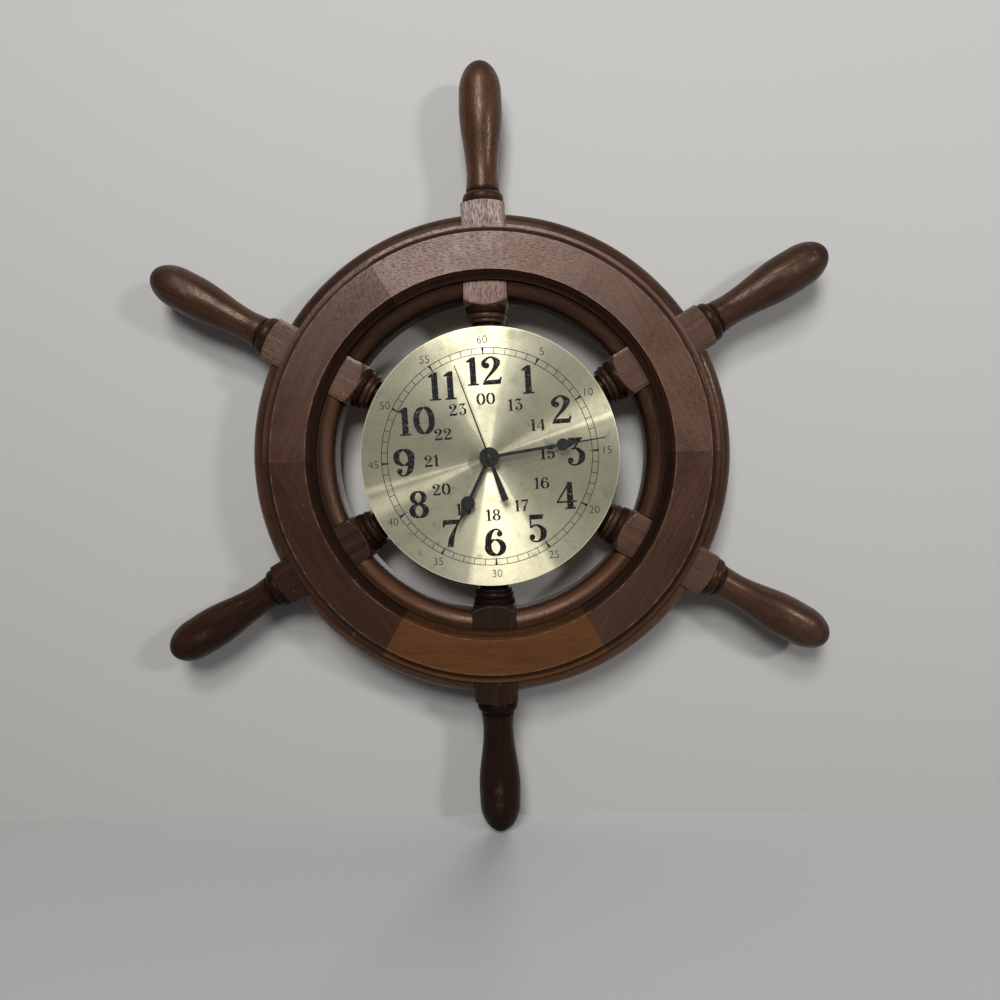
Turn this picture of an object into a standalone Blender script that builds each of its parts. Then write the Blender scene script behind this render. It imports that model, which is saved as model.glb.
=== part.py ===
"""Ship wheel wall clock.

A six-spoke timber wheel hangs flat on a wall. A round brass dial sits on its hub, and a
battery movement in a pocket behind the hub turns three hands.

Frame: +Z is up, the dial faces -Y, the wall is the plane y = 0, and the wheel's axis runs
through the origin. A depth is a distance from the wall, so a point at depth d has y = -d.
Angles run clockwise from +Z as seen from the front, which is a positive turn about +Y.
Lengths are in metres, written as millimetres times MM.
"""

import math

import bmesh
import bpy
from mathutils import Vector
from mathutils.geometry import delaunay_2d_cdt

MM = 0.001
GAP = 0.3 * MM                      # clearance kept between pieces that touch

# Timber wheel
SPOKES = 6
BLANK = 25.4 * MM                   # side of the square blank a spoke is turned from
TENON_DIAMETER = 14.0 * MM
TENON_LENGTH = 16.0 * MM
SPOKE_REACH = 29.3 * MM             # from the hub to the inner edge of the rim
FELLOE_WIDTH = 48.6 * MM
FELLOE_ROUND = 8.0 * MM             # rounded edges of the rim
FACING_WIDTH = 31.0 * MM
FACING_THICKNESS = 6.35 * MM
FACING_LIP = 9.8 * MM               # rim left bare inside the facing ring
FACING_COVE = 4.7 * MM              # hollow moulding along both facing edges

# Turned spoke, diameters and lengths along its axis
FOOT_DIAMETER = 17.0 * MM           # plain round part next to the hub
INNER_BEAD_DIAMETER = 19.8 * MM
INNER_BEAD_LENGTH = 2.8 * MM
MAIN_BEAD_DIAMETER = 23.0 * MM
MAIN_BEAD_LENGTH = 4.0 * MM
QUIRK_DIAMETER = 17.8 * MM          # groove beside a bead
COVE_LENGTH = 2.6 * MM              # hollow between the main bead and the block
BLOCK_INNER_OVERHANG = 4.5 * MM     # block showing inside the rim
BLOCK_OUTER_OVERHANG = 6.7 * MM     # block showing outside the rim
SHOULDER_LENGTH = 3.0 * MM          # rounded end of the square block
COLLAR_DIAMETER = 23.7 * MM         # bead between the block and the handle
COLLAR_LENGTH = 6.8 * MM
FLARE_DIAMETER = 19.1 * MM          # ring at the foot of the handle
FLARE_LENGTH = 1.6 * MM
NECK_DIAMETER = 17.4 * MM
NECK_LENGTH = 7.4 * MM              # from the flare to the thinnest point
HANDLE_DIAMETER = 24.4 * MM
HANDLE_LENGTH = 81.6 * MM           # from the end of the block to the tip
HANDLE_CROWN = 27.0 * MM            # from the thickest point to the tip
TIP_LENGTH = 20.0 * MM              # rounded end of the handle
TIP_DIAMETER = 24.0 * MM
BEAD_SHARES = (0.0, 0.3, 0.7, 1.0)          # where a bead's curve is cut into facets
SMALL_BEAD_SHARES = (0.0, 0.45, 1.0)
SHOULDER_SHARES = (0.0, 0.5, 1.0)
COLLAR_CURVE = ((0.04, 0.2), (0.3, 0.0), (0.7, 0.2), (1.0, 1.0))    # share along, share of the drop
SWELL_SHARES = (0.3, 0.65, 1.0)
TIP_TURNS = (10, 40, 68)                    # degrees round the handle's end

# Hub, dial and hands
HUB_THICKNESS = 26.0 * MM
HUB_WEB = 5.0 * MM                  # timber left in front of the movement pocket
HUB_WALL = 5.3 * MM                 # timber between the pocket's corner and a tenon
HUB_CHAMFER = 1.5 * MM
POCKET_CLEARANCE = 0.5 * MM
DIAL_DIAMETER = 150.0 * MM
DIAL_THICKNESS = 1.0 * MM
HAND_THICKNESS = 0.5 * MM
HAND_SPACING = 1.0 * MM
HOUR_LENGTH = 44.5 * MM
HOUR_BOSS_DIAMETER = 11.0 * MM
HOUR_STEM = 1.9 * MM                # width of the slim stem
HOUR_BELLY = 8.2 * MM               # diameter of the round belly
HOUR_BELLY_REACH = 29.2 * MM        # from the axis to the belly's middle
MINUTE_LENGTH = 66.7 * MM
MINUTE_BOSS_DIAMETER = 11.4 * MM
MINUTE_STEM = 1.8 * MM
MINUTE_BELLY = 7.0 * MM
MINUTE_BELLY_REACH = 42.5 * MM
NEEDLE_WIDTH = 0.8 * MM             # the point beyond a belly, and the second hand
SECOND_LENGTH = 55.4 * MM
SECOND_TAIL = 26.5 * MM
SECOND_TAIL_WIDTH = 4.0 * MM        # at the tail's end
SECOND_BOSS_DIAMETER = 4.4 * MM
BELLY_SWEEP = math.radians(115)     # how far the belly's curve runs from the axis side
WAIST_REACH = 1.3                   # hollow taper beyond the belly, in belly radii
WAIST_WIDTH = 0.42
TAPER_REACH = 2.2
HOUR_ANGLE = math.radians(206.6)    # the time that the hands show at rest
MINUTE_ANGLE = math.radians(81.9)
SECOND_ANGLE = math.radians(-19.4)

# Movement case and its fastening through the hub
BATTERY_DIAMETER = 14.5 * MM
BATTERY_LENGTH = 50.5 * MM
BATTERY_NUB_DIAMETER = 5.5 * MM
BATTERY_NUB_LENGTH = 1.5 * MM
CONTACT_THICKNESS = 0.5 * MM
CONTACT_WIDTH = 9.0 * MM
CASE_WALL = 1.65 * MM
CASE_FRONT_WALL = 1.6 * MM
CASE_CORNER = 3.0 * MM
COVER_THICKNESS = 1.5 * MM
COVER_LEDGE = 0.8 * MM
PIVOT_DEPTH = 0.9 * MM              # blind holes that carry the arbors' ends
BUSHING_WALL = 0.7 * MM
BUSHING_END = 0.5 * MM              # bushing left in front of the nut
NUT_WALL = 1.2 * MM                 # metal left round the nut's hole at its flats
NUT_THICKNESS = 2.2 * MM
WASHER_RIM = 1.4 * MM               # from the hole to the outer edge
WASHER_THICKNESS = 0.6 * MM
GASKET_RIM = 7.2 * MM
GASKET_THICKNESS = 0.8 * MM

# Wheel train
MODULE = 0.4 * MM
MOTION_MODULE = 0.6 * MM            # coarser teeth under the hands
ADDENDUM = 0.8                      # tooth heights in modules
DEDENDUM = 1.05
TOOTH_BASE = 0.5                    # share of the pitch that a tooth's foot takes
WHEEL_THICKNESS = 0.8 * MM
LEVEL_GAP = 0.5 * MM                # space between two wheels of the train
TRAIN_CLEARANCE = 0.6 * MM
ARBOR_DIAMETER = 1.0 * MM
SECOND_ARBOR_DIAMETER = 1.2 * MM
CANNON_WALL = 0.7 * MM
HOUR_TUBE_WALL = 0.6 * MM
STUD_DIAMETER = 1.4 * MM
PINION = 6                          # teeth of the small pinions
ROTOR_TEETH = 30                    # wheel driven by the rotor's pinion
SECOND_TEETH = 36
THIRD_TEETH = 45
CENTRE_TEETH = 48
CANNON_TEETH = 8
MOTION_TEETH = 24
MOTION_PINION = 6
HOUR_TEETH = 24
KNOB_TEETH = 8
SECOND_LEVEL = 0                    # order of the wheels from the cover to the dial
ROTOR_LEVEL = 1
THIRD_LEVEL = 2
CENTRE_LEVEL = 3
MOTION_LEVEL = 4
HOUR_LEVEL = 5
THIRD_DIRECTION = math.radians(-30)     # where each axis lies from the one it meshes with
INTERMEDIATE_DIRECTION = math.radians(70)
ROTOR_DIRECTION = math.radians(45)
MOTION_DIRECTION = math.radians(-90)
KNOB_DIRECTION = math.radians(-45)
KNOB_ARBOR_DIAMETER = 1.6 * MM
KNOB_DIAMETER = 9.0 * MM
KNOB_THICKNESS = 2.2 * MM
KNOB_RIBS = 12
KNOB_RIB_HEIGHT = 0.4 * MM

# Motor and circuit
MAGNET_DIAMETER = 4.4 * MM
MAGNET_THICKNESS = 2.4 * MM
STATOR_THICKNESS = 1.0 * MM
STATOR_BAR = 8.4 * MM               # height of the bar round the rotor
STATOR_LEG = 2.4 * MM
ROTOR_AIR_GAP = 0.4 * MM
COIL_DIAMETER = 6.4 * MM
COIL_FLANGE_DIAMETER = 7.5 * MM
COIL_FLANGE = 0.8 * MM
COIL_LENGTH = 12.0 * MM
BOARD_INSET = 1.15 * MM             # from the chamber's side wall to the board
BOARD_WIDTH = 16.0 * MM
BOARD_HEIGHT = 7.0 * MM
BOARD_THICKNESS = 0.8 * MM
CRYSTAL_DIAMETER = 2.0 * MM
CRYSTAL_LENGTH = 6.0 * MM

# Keyhole hanger let into the back of the top facing
PLATE_WIDTH = 44.0 * MM
PLATE_HEIGHT = 19.0 * MM
PLATE_THICKNESS = 1.6 * MM
PLATE_CORNER = 3.0 * MM
PLATE_SINK = 1.6 * MM               # plate lies this far below the back face
KEYHOLE_DIAMETER = 9.0 * MM
KEYHOLE_SLOT = 4.6 * MM
KEYHOLE_RISE = 6.0 * MM             # from the round hole's centre to the slot's end
HEAD_ROOM = 2.0 * MM                # room behind the plate for a screw's head
SCREW_SPACING = 33.0 * MM
SCREW_DIAMETER = 3.0 * MM
SCREW_HEAD_DIAMETER = 6.0 * MM
SCREW_HEAD_THICKNESS = 1.2 * MM
SCREW_LENGTH = 3.6 * MM

# Facet counts
SPOKE_SIDES = 16
ARC_STEPS = 6
ROUND_STEPS = 3
COVE_STEPS = 2
DIAL_SIDES = 60
HUB_SIDES = 40
TUBE_SIDES = 12
ARBOR_SIDES = 8
NUT_SIDES = 6
SMOOTH_ANGLE = math.radians(40)     # edges sharper than this stay crisp
INSIDE_WITH_HOLES = 2               # triangles inside the loops, counted even-odd
FILL_TOLERANCE = 1e-5               # in millimetres

# Worked out from the sizes above: the train's axes
def step_from(point, distance, direction):
    """The point at a distance and clockwise direction from another, in the dial's plane."""
    return point[0] + distance * math.sin(direction), point[1] + distance * math.cos(direction)


def centre_distance(module, teeth_a, teeth_b):
    return module * (teeth_a + teeth_b) / 2


THIRD_DISTANCE = centre_distance(MODULE, PINION, THIRD_TEETH)
CENTRE_MODULE = 2 * THIRD_DISTANCE / (PINION + CENTRE_TEETH)
MOTION_DISTANCE = centre_distance(MOTION_MODULE, CANNON_TEETH, MOTION_TEETH)
HOUR_MODULE = 2 * MOTION_DISTANCE / (MOTION_PINION + HOUR_TEETH)
CENTRE_AXIS = (0.0, 0.0)
THIRD_AXIS = step_from(CENTRE_AXIS, THIRD_DISTANCE, THIRD_DIRECTION)
INTERMEDIATE_AXIS = step_from(CENTRE_AXIS, centre_distance(MODULE, PINION, SECOND_TEETH),
                              INTERMEDIATE_DIRECTION)
ROTOR_AXIS = step_from(INTERMEDIATE_AXIS, centre_distance(MODULE, PINION, ROTOR_TEETH), ROTOR_DIRECTION)
MOTION_AXIS = step_from(CENTRE_AXIS, MOTION_DISTANCE, MOTION_DIRECTION)
KNOB_AXIS = step_from(MOTION_AXIS, centre_distance(MOTION_MODULE, MOTION_TEETH, KNOB_TEETH),
                      KNOB_DIRECTION)

# Movement outline in the dial's plane
CENTRE_TIP = CENTRE_MODULE * (CENTRE_TEETH / 2 + ADDENDUM)
HOUR_TIP = HOUR_MODULE * (HOUR_TEETH / 2 + ADDENDUM)
TRAIN_REACH = max(CENTRE_TIP, HOUR_TIP) + TRAIN_CLEARANCE
BAY_HALF = BATTERY_LENGTH / 2 + CONTACT_THICKNESS + 2 * GAP
CASE_HALF = BAY_HALF + CASE_WALL
BAY_TOP = -(TRAIN_REACH + CASE_WALL)
BAY_BOTTOM = BAY_TOP - BATTERY_DIAMETER - 2 * GAP
CASE_BOTTOM = BAY_BOTTOM - CASE_WALL
CASE_TOP = CASE_HALF

# Wheel radii
POCKET_HALF = max(CASE_HALF, -CASE_BOTTOM) + POCKET_CLEARANCE
HUB_RADIUS = POCKET_HALF * math.sqrt(2) + HUB_WALL + TENON_LENGTH
RIM_INNER = HUB_RADIUS + SPOKE_REACH
RIM_OUTER = RIM_INNER + FELLOE_WIDTH
FACING_INNER = RIM_INNER + FACING_LIP
FACING_MIDDLE = FACING_INNER + FACING_WIDTH / 2
BLOCK_INNER = RIM_INNER - BLOCK_INNER_OVERHANG
BLOCK_OUTER = RIM_OUTER + BLOCK_OUTER_OVERHANG
TIP_RADIUS = BLOCK_OUTER + HANDLE_LENGTH
SPOKE_PITCH = 2 * math.pi / SPOKES

# Depths of the layers, from the wall outwards
TIMBER_BACK = FACING_THICKNESS + GAP
TIMBER_FRONT = TIMBER_BACK + BLANK
AXIS_DEPTH = TIMBER_BACK + BLANK / 2
HUB_BACK = TIMBER_FRONT - HUB_THICKNESS
POCKET_FLOOR = TIMBER_FRONT - HUB_WEB
GASKET_BACK = POCKET_FLOOR - GAP - GASKET_THICKNESS
CASE_FRONT = GASKET_BACK - GAP
BAY_FLOOR = CASE_FRONT - CASE_FRONT_WALL
BATTERY_DEPTH = BAY_FLOOR - GAP - BATTERY_DIAMETER / 2
CASE_BACK = BATTERY_DEPTH - BATTERY_DIAMETER / 2 - GAP
COVER_FRONT = CASE_BACK + COVER_THICKNESS
DIAL_BACK = TIMBER_FRONT + GAP
DIAL_FRONT = DIAL_BACK + DIAL_THICKNESS
WASHER_BACK = DIAL_FRONT + GAP
NUT_BACK = WASHER_BACK + WASHER_THICKNESS + GAP
BUSHING_FRONT = NUT_BACK + NUT_THICKNESS + BUSHING_END
HOUR_BACK = BUSHING_FRONT + BUSHING_END
MINUTE_BACK = HOUR_BACK + HAND_THICKNESS + HAND_SPACING
SECOND_BACK = MINUTE_BACK + HAND_THICKNESS + HAND_SPACING
LEVEL_STEP = WHEEL_THICKNESS + LEVEL_GAP
MAGNET_BACK = COVER_FRONT + LEVEL_GAP + (HOUR_LEVEL + 1) * LEVEL_STEP
STATOR_BACK = MAGNET_BACK + (MAGNET_THICKNESS - STATOR_THICKNESS) / 2
STATOR_FRONT = STATOR_BACK + STATOR_THICKNESS

# Radii of the nested shafts at the centre
SECOND_RADIUS = SECOND_ARBOR_DIAMETER / 2
CANNON_BORE = SECOND_RADIUS + GAP
CANNON_RADIUS = CANNON_BORE + CANNON_WALL
HOUR_BORE = CANNON_RADIUS + GAP
HOUR_RADIUS = HOUR_BORE + HOUR_TUBE_WALL
BUSHING_BORE = HOUR_RADIUS + GAP
BUSHING_RADIUS = BUSHING_BORE + BUSHING_WALL
SHAFT_HOLE = BUSHING_RADIUS + GAP
ARBOR_RADIUS = ARBOR_DIAMETER / 2
STUD_RADIUS = STUD_DIAMETER / 2


# Outlines: closed lists of (x, z) points in the dial's plane
def circle(radius, sides, centre=CENTRE_AXIS):
    return [step_from(centre, radius, 2 * math.pi * i / sides) for i in range(sides)]


def rounded_box(left, bottom, right, top, corner, steps=ROUND_STEPS):
    """A rectangle with quarter-circle corners."""
    centres = ((right - corner, top - corner), (right - corner, bottom + corner),
               (left + corner, bottom + corner), (left + corner, top - corner))
    points = []
    for quarter, centre in enumerate(centres):
        for i in range(steps + 1):
            points.append(step_from(centre, corner, math.pi / 2 * (quarter + i / steps)))
    return points


def box(left, bottom, right, top):
    return [(left, bottom), (left, top), (right, top), (right, bottom)]


def gear(teeth, module, phase):
    """Pointed teeth on a round root, three corners to a tooth, with a tooth at the phase angle."""
    pitch = 2 * math.pi / teeth
    tip = module * (teeth / 2 + ADDENDUM)
    root = module * (teeth / 2 - DEDENDUM)
    points = []
    for i in range(teeth):
        middle = phase + i * pitch
        points.append(step_from(CENTRE_AXIS, root, middle - pitch * TOOTH_BASE / 2))
        points.append(step_from(CENTRE_AXIS, tip, middle))
        points.append(step_from(CENTRE_AXIS, root, middle + pitch * TOOTH_BASE / 2))
    return points


def mesh_phase(teeth_a, phase_a, axis_a, teeth_b, axis_b):
    """Phase of gear b that puts a gap of it against each tooth of gear a."""
    direction = math.atan2(axis_b[0] - axis_a[0], axis_b[1] - axis_a[1])
    pitch_a = 2 * math.pi / teeth_a
    pitch_b = 2 * math.pi / teeth_b
    ahead = ((direction - phase_a) % pitch_a) / pitch_a
    return direction + math.pi - pitch_b * (0.5 - ahead)


def blade(half_widths, boss_radius):
    """One side-symmetric blade on a round boss, from (distance, half width) pairs along +z."""
    root = half_widths[0][1]
    start = math.asin(root / boss_radius)
    turn = 2 * (math.pi - start)
    points = [step_from(CENTRE_AXIS, boss_radius, start + turn * i / TUBE_SIDES)
              for i in range(TUBE_SIDES + 1)]
    outline = half_widths[1:]
    left = [(-half, distance) for distance, half in outline]
    right = [(half, distance) for distance, half in reversed(outline) if half > 0]
    return points + left + right


# Solids
def stack(sections):
    """Closed solid of flat-ended prisms set end to end, as (points, faces).

    Each section is (loops, near, far): a region bounded by loops, counted even-odd, between two
    depths. Where two sections meet, the loops that they don't share bound the flat step.
    """
    points = []
    faces = []

    def ring(loop, depth):
        first = len(points)
        points.extend((x, -depth, z) for x, z in loop)
        return list(range(first, first + len(loop)))

    def fill(rings):
        order = [index for loop in rings for index in loop]
        corners = [Vector((points[index][0], points[index][2])) / MM for index in order]
        loops = []
        for loop in rings:
            first = sum(len(done) for done in loops)
            loops.append(list(range(first, first + len(loop))))
        flat = delaunay_2d_cdt(corners, [], loops, INSIDE_WITH_HOLES, FILL_TOLERANCE)
        origin = [order[ids[0]] for ids in flat[3]]
        faces.extend(tuple(origin[i] for i in triangle) for triangle in flat[2])

    previous = {}
    for loops, near, far in sections:
        low = {}
        for loop in loops:
            low[id(loop)] = previous.pop(id(loop), None)
        fresh = [loop for loop in loops if low[id(loop)] is None]
        for loop in fresh:
            low[id(loop)] = ring(loop, near)
        step = list(previous.values()) + [low[id(loop)] for loop in fresh]
        if step:
            fill(step)
        previous = {}
        for loop in loops:
            bottom = low[id(loop)]
            top = ring(loop, far)
            previous[id(loop)] = top
            for i in range(len(loop)):
                j = (i + 1) % len(loop)
                faces.append((bottom[i], bottom[j], top[j], top[i]))
    fill(list(previous.values()))
    return points, faces


def loft(rings, closed_ends=True):
    """Closed solid through rings of equal point count, with flat ends, as (points, faces)."""
    count = len(rings[0])
    points = [point for ring in rings for point in ring]
    faces = []
    for k in range(len(rings) - 1):
        for i in range(count):
            j = (i + 1) % count
            faces.append((k * count + i, k * count + j, (k + 1) * count + j, (k + 1) * count + i))
    if closed_ends:
        faces.append(tuple(range(count)))
        faces.append(tuple(range((len(rings) - 1) * count, len(rings) * count)))
    return points, faces


def arc_segment(profile, sweep, end_offset):
    """Ring segment of a (radius, depth) profile, centred on +z.

    Both ends are flat and lie end_offset inside the radial lines at half the sweep, so the angle
    that is left off at radius r is asin(end_offset / r).
    """
    rings = []
    for step in range(ARC_STEPS + 1):
        share = step / ARC_STEPS - 0.5
        ring = []
        for radius, depth in profile:
            angle = share * (sweep - 2 * math.asin(end_offset / radius))
            x, z = step_from(CENTRE_AXIS, radius, angle)
            ring.append((x, -depth, z))
        rings.append(ring)
    return loft(rings)


def new_mesh(name, solid):
    """Mesh of a solid with its faces pointing out and its round parts shaded smooth."""
    points, faces = solid
    mesh = bpy.data.meshes.new(name)
    mesh.from_pydata(points, [], faces)
    bm = bmesh.new()
    bm.from_mesh(mesh)
    bmesh.ops.recalc_face_normals(bm, faces=bm.faces)
    bm.to_mesh(mesh)
    bm.free()
    mesh.shade_smooth()
    mesh.set_sharp_from_angle(angle=SMOOTH_ANGLE)
    return mesh


def place(name, mesh, material, axis=CENTRE_AXIS, angle=0.0, depth=0.0):
    """Object with its origin on an axis, turned clockwise by an angle."""
    thing = bpy.data.objects.new(name, mesh)
    thing.location = (axis[0], -depth, axis[1])
    thing.rotation_euler = (0.0, angle, 0.0)
    thing.parent = clock
    bpy.context.scene.collection.objects.link(thing)
    if not mesh.materials:
        mesh.materials.append(material)
    return thing


def cut(thing, cutter_name, solid):
    """Take a helper solid away from an object."""
    helper = bpy.data.objects.new(cutter_name, new_mesh(cutter_name, solid))
    helper.hide_render = True
    helper.display_type = "WIRE"
    helper.parent = clock
    bpy.context.scene.collection.objects.link(helper)
    modifier = thing.modifiers.new(cutter_name, "BOOLEAN")
    modifier.operation = "DIFFERENCE"
    modifier.solver = "EXACT"
    modifier.object = helper
    return helper


def material(name, colour, roughness, metallic=0.0):
    finish = bpy.data.materials.new(name)
    finish.use_nodes = True
    shader = finish.node_tree.nodes["Principled BSDF"]
    shader.inputs["Base Color"].default_value = (*colour, 1.0)
    shader.inputs["Roughness"].default_value = roughness
    shader.inputs["Metallic"].default_value = metallic
    return finish


# Spoke
def square_ring(position, radius):
    """Section of a turned spoke: a circle, cut flat where it passes the square blank's sides."""
    ring = []
    for i in range(SPOKE_SIDES):
        angle = 2 * math.pi * i / SPOKE_SIDES
        across = max(abs(math.cos(angle)), abs(math.sin(angle)))
        reach = min(radius, BLANK / 2 / across)
        ring.append((reach * math.sin(angle), reach * math.cos(angle), position))
    return ring


def bead_stations(start, length, foot_radius, top_radius, shares):
    """Half-round bead between two points along the spoke."""
    stations = []
    for share in shares:
        swell = math.sin(math.pi * share)
        stations.append((start + length * share, foot_radius + (top_radius - foot_radius) * swell ** 0.5))
    return stations


def spoke_profile():
    """Stations (distance from the wheel's axis, turned radius) from the tenon to the handle's tip."""
    corner = BLANK / math.sqrt(2)
    half = BLANK / 2
    quirk = QUIRK_DIAMETER / 2
    cove_start = BLOCK_INNER - COVE_LENGTH
    main_start = cove_start - MAIN_BEAD_LENGTH
    inner_start = main_start - INNER_BEAD_LENGTH
    seat = HUB_RADIUS + GAP
    stations = [(HUB_RADIUS - TENON_LENGTH, TENON_DIAMETER / 2), (seat, TENON_DIAMETER / 2),
                (seat, FOOT_DIAMETER / 2)]
    stations += bead_stations(inner_start, INNER_BEAD_LENGTH, FOOT_DIAMETER / 2, INNER_BEAD_DIAMETER / 2,
                              SMALL_BEAD_SHARES)
    stations += bead_stations(main_start, MAIN_BEAD_LENGTH, quirk, MAIN_BEAD_DIAMETER / 2, BEAD_SHARES)[1:]
    stations.append((cove_start + COVE_LENGTH / 2, quirk))
    # Both ends of the block are rounded over from the blank's corners to its flats.
    for share in SHOULDER_SHARES:
        rise = math.sin(math.pi / 2 * share)
        stations.append((BLOCK_INNER + SHOULDER_LENGTH * share, half + (corner - half) * rise))
    for share in reversed(SHOULDER_SHARES):
        rise = math.sin(math.pi / 2 * share)
        stations.append((BLOCK_OUTER - SHOULDER_LENGTH * share, half + (corner - half) * rise))
    collar = COLLAR_DIAMETER / 2
    flare = FLARE_DIAMETER / 2
    collar_end = BLOCK_OUTER + COLLAR_LENGTH
    stations += [(BLOCK_OUTER + COLLAR_LENGTH * share, collar - (collar - flare) * drop)
                 for share, drop in COLLAR_CURVE]
    neck_start = collar_end + FLARE_LENGTH
    neck = NECK_DIAMETER / 2
    handle = HANDLE_DIAMETER / 2
    neck_end = neck_start + NECK_LENGTH
    crown = TIP_RADIUS - HANDLE_CROWN
    stations += [(neck_start, flare), (neck_end, neck)]
    for share in SWELL_SHARES:
        swell = (1 - math.cos(math.pi * share)) / 2
        stations.append((neck_end + (crown - neck_end) * share, neck + (handle - neck) * swell))
    for turn in TIP_TURNS:
        along = TIP_RADIUS - TIP_LENGTH * (1 - math.sin(math.radians(turn)))
        stations.append((along, TIP_DIAMETER / 2 * math.cos(math.radians(turn))))
    return stations


def spoke_solid():
    """Turned spoke along +z, closed by a point at the handle's tip."""
    rings = [square_ring(position, radius) for position, radius in spoke_profile()]
    points, faces = loft(rings, closed_ends=False)
    faces.append(tuple(range(SPOKE_SIDES)))
    tip = len(points)
    last = tip - SPOKE_SIDES
    points.append((0.0, 0.0, TIP_RADIUS))
    faces += [(last + i, last + (i + 1) % SPOKE_SIDES, tip) for i in range(SPOKE_SIDES)]
    return points, faces


def build_spokes():
    mesh = new_mesh("turned_spoke", spoke_solid())
    for i in range(SPOKES):
        place(f"spoke_{i + 1}", mesh, dark_wood, angle=i * SPOKE_PITCH, depth=AXIS_DEPTH)


# Rim
def felloe_profile():
    """Rim section as (radius, depth), a rectangle with all four edges rounded over."""
    return rounded_box(RIM_INNER, TIMBER_BACK, RIM_OUTER, TIMBER_FRONT, FELLOE_ROUND)


def facing_profile(foot, face):
    """Facing section as (radius, depth) from its glued foot to its face, with hollow edges."""
    outer = FACING_INNER + FACING_WIDTH
    out = 1 if face > foot else -1
    inner_edge = []
    outer_edge = []
    for i in range(COVE_STEPS + 1):
        turn = math.pi / 2 * i / COVE_STEPS
        depth = face - out * FACING_COVE * math.cos(turn)
        inner_edge.append((FACING_INNER + FACING_COVE * math.sin(turn), depth))
        outer_edge.append((outer - FACING_COVE * math.sin(turn), depth))
    return [(FACING_INNER, foot)] + inner_edge + outer_edge[::-1] + [(outer, foot)]


def build_rim():
    """Felloes between the spokes, and facings that cover the joints on both sides."""
    felloe = new_mesh("felloe", arc_segment(felloe_profile(), SPOKE_PITCH, BLANK / 2 + GAP))
    front_profile = facing_profile(TIMBER_FRONT + GAP, TIMBER_FRONT + GAP + FACING_THICKNESS)
    front = new_mesh("front_facing", arc_segment(front_profile, SPOKE_PITCH, GAP / 2))
    back = new_mesh("back_facing", arc_segment(facing_profile(FACING_THICKNESS, 0.0), SPOKE_PITCH, GAP / 2))
    for i in range(SPOKES):
        name = i + 1
        place(f"felloe_{name}", felloe, dark_wood, angle=(i + 0.5) * SPOKE_PITCH)
        place(f"front_facing_{name}", front, red_wood, angle=i * SPOKE_PITCH)
        back_mesh = back if i else back.copy()
        back_facing = place(f"back_facing_{name}", back_mesh, red_wood, angle=i * SPOKE_PITCH)
        if i == 0:
            cut(back_facing, "hanger_recess", hanger_recess())


# Hanger
def keyhole():
    """Round hole with a narrower slot above it, centred across the plate."""
    radius = KEYHOLE_DIAMETER / 2
    half = KEYHOLE_SLOT / 2
    centre = (0.0, FACING_MIDDLE - KEYHOLE_RISE / 2)
    start = math.asin(half / radius)
    sweep = 2 * (math.pi - start)
    points = [step_from(centre, radius, start + sweep * i / TUBE_SIDES) for i in range(TUBE_SIDES + 1)]
    top = (0.0, centre[1] + KEYHOLE_RISE)
    for i in range(ROUND_STEPS + 2):
        points.append(step_from(top, half, math.pi * (i / (ROUND_STEPS + 1) - 0.5)))
    return points


def plate_outline(margin):
    half = PLATE_WIDTH / 2 + margin
    rise = PLATE_HEIGHT / 2 + margin
    return rounded_box(-half, FACING_MIDDLE - rise, half, FACING_MIDDLE + rise, PLATE_CORNER)


def screw_places():
    return [(side * SCREW_SPACING / 2, FACING_MIDDLE) for side in (-1, 1)]


def hanger_recess():
    """Seat for the plate, room for a screw's head behind the keyhole, and two screw holes."""
    seat = PLATE_SINK + PLATE_THICKNESS + GAP
    reach = KEYHOLE_DIAMETER / 2 + GAP
    low = FACING_MIDDLE - KEYHOLE_RISE / 2 - reach
    high = FACING_MIDDLE + KEYHOLE_RISE / 2 + reach - KEYHOLE_SLOT / 2
    room = box(-reach, low, reach, high)
    holes = [circle(SCREW_DIAMETER / 2 + GAP, TUBE_SIDES, spot) for spot in screw_places()]
    screw_end = PLATE_SINK + SCREW_LENGTH + GAP
    shallow = min(seat + HEAD_ROOM, screw_end)
    deep_loops = [room] if seat + HEAD_ROOM > screw_end else holes
    sections = [([plate_outline(GAP)], -PLATE_SINK, seat), ([room] + holes, seat, shallow)]
    deep = max(seat + HEAD_ROOM, screw_end)
    if deep > shallow:
        sections.append((deep_loops, shallow, deep))
    return stack(sections)


def build_hanger():
    holes = [circle(SCREW_DIAMETER / 2 + GAP, TUBE_SIDES, spot) for spot in screw_places()]
    plate = stack([([plate_outline(0.0), keyhole()] + holes, PLATE_SINK, PLATE_SINK + PLATE_THICKNESS)])
    place("hanger_plate", new_mesh("hanger_plate", plate), brass)
    head = circle(SCREW_HEAD_DIAMETER / 2, TUBE_SIDES)
    shank = circle(SCREW_DIAMETER / 2, TUBE_SIDES)
    head_back = PLATE_SINK - GAP - SCREW_HEAD_THICKNESS
    screw = new_mesh("hanger_screw", stack([([head], head_back, PLATE_SINK - GAP),
                                            ([shank], PLATE_SINK - GAP, PLATE_SINK + SCREW_LENGTH)]))
    for i, spot in enumerate(screw_places()):
        place(f"hanger_screw_{i + 1}", screw, steel, axis=spot)


# Hub and dial
def radial_peg(radius, start, end, angle):
    """Round peg along a spoke's axis, for the tenon sockets."""
    rings = []
    for position in (start, end):
        ring = []
        for i in range(SPOKE_SIDES):
            turn = 2 * math.pi * i / SPOKE_SIDES
            side = radius * math.sin(turn)
            x = position * math.sin(angle) + side * math.cos(angle)
            z = position * math.cos(angle) - side * math.sin(angle)
            ring.append((x, -AXIS_DEPTH - radius * math.cos(turn), z))
        rings.append(ring)
    return loft(rings)


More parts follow.
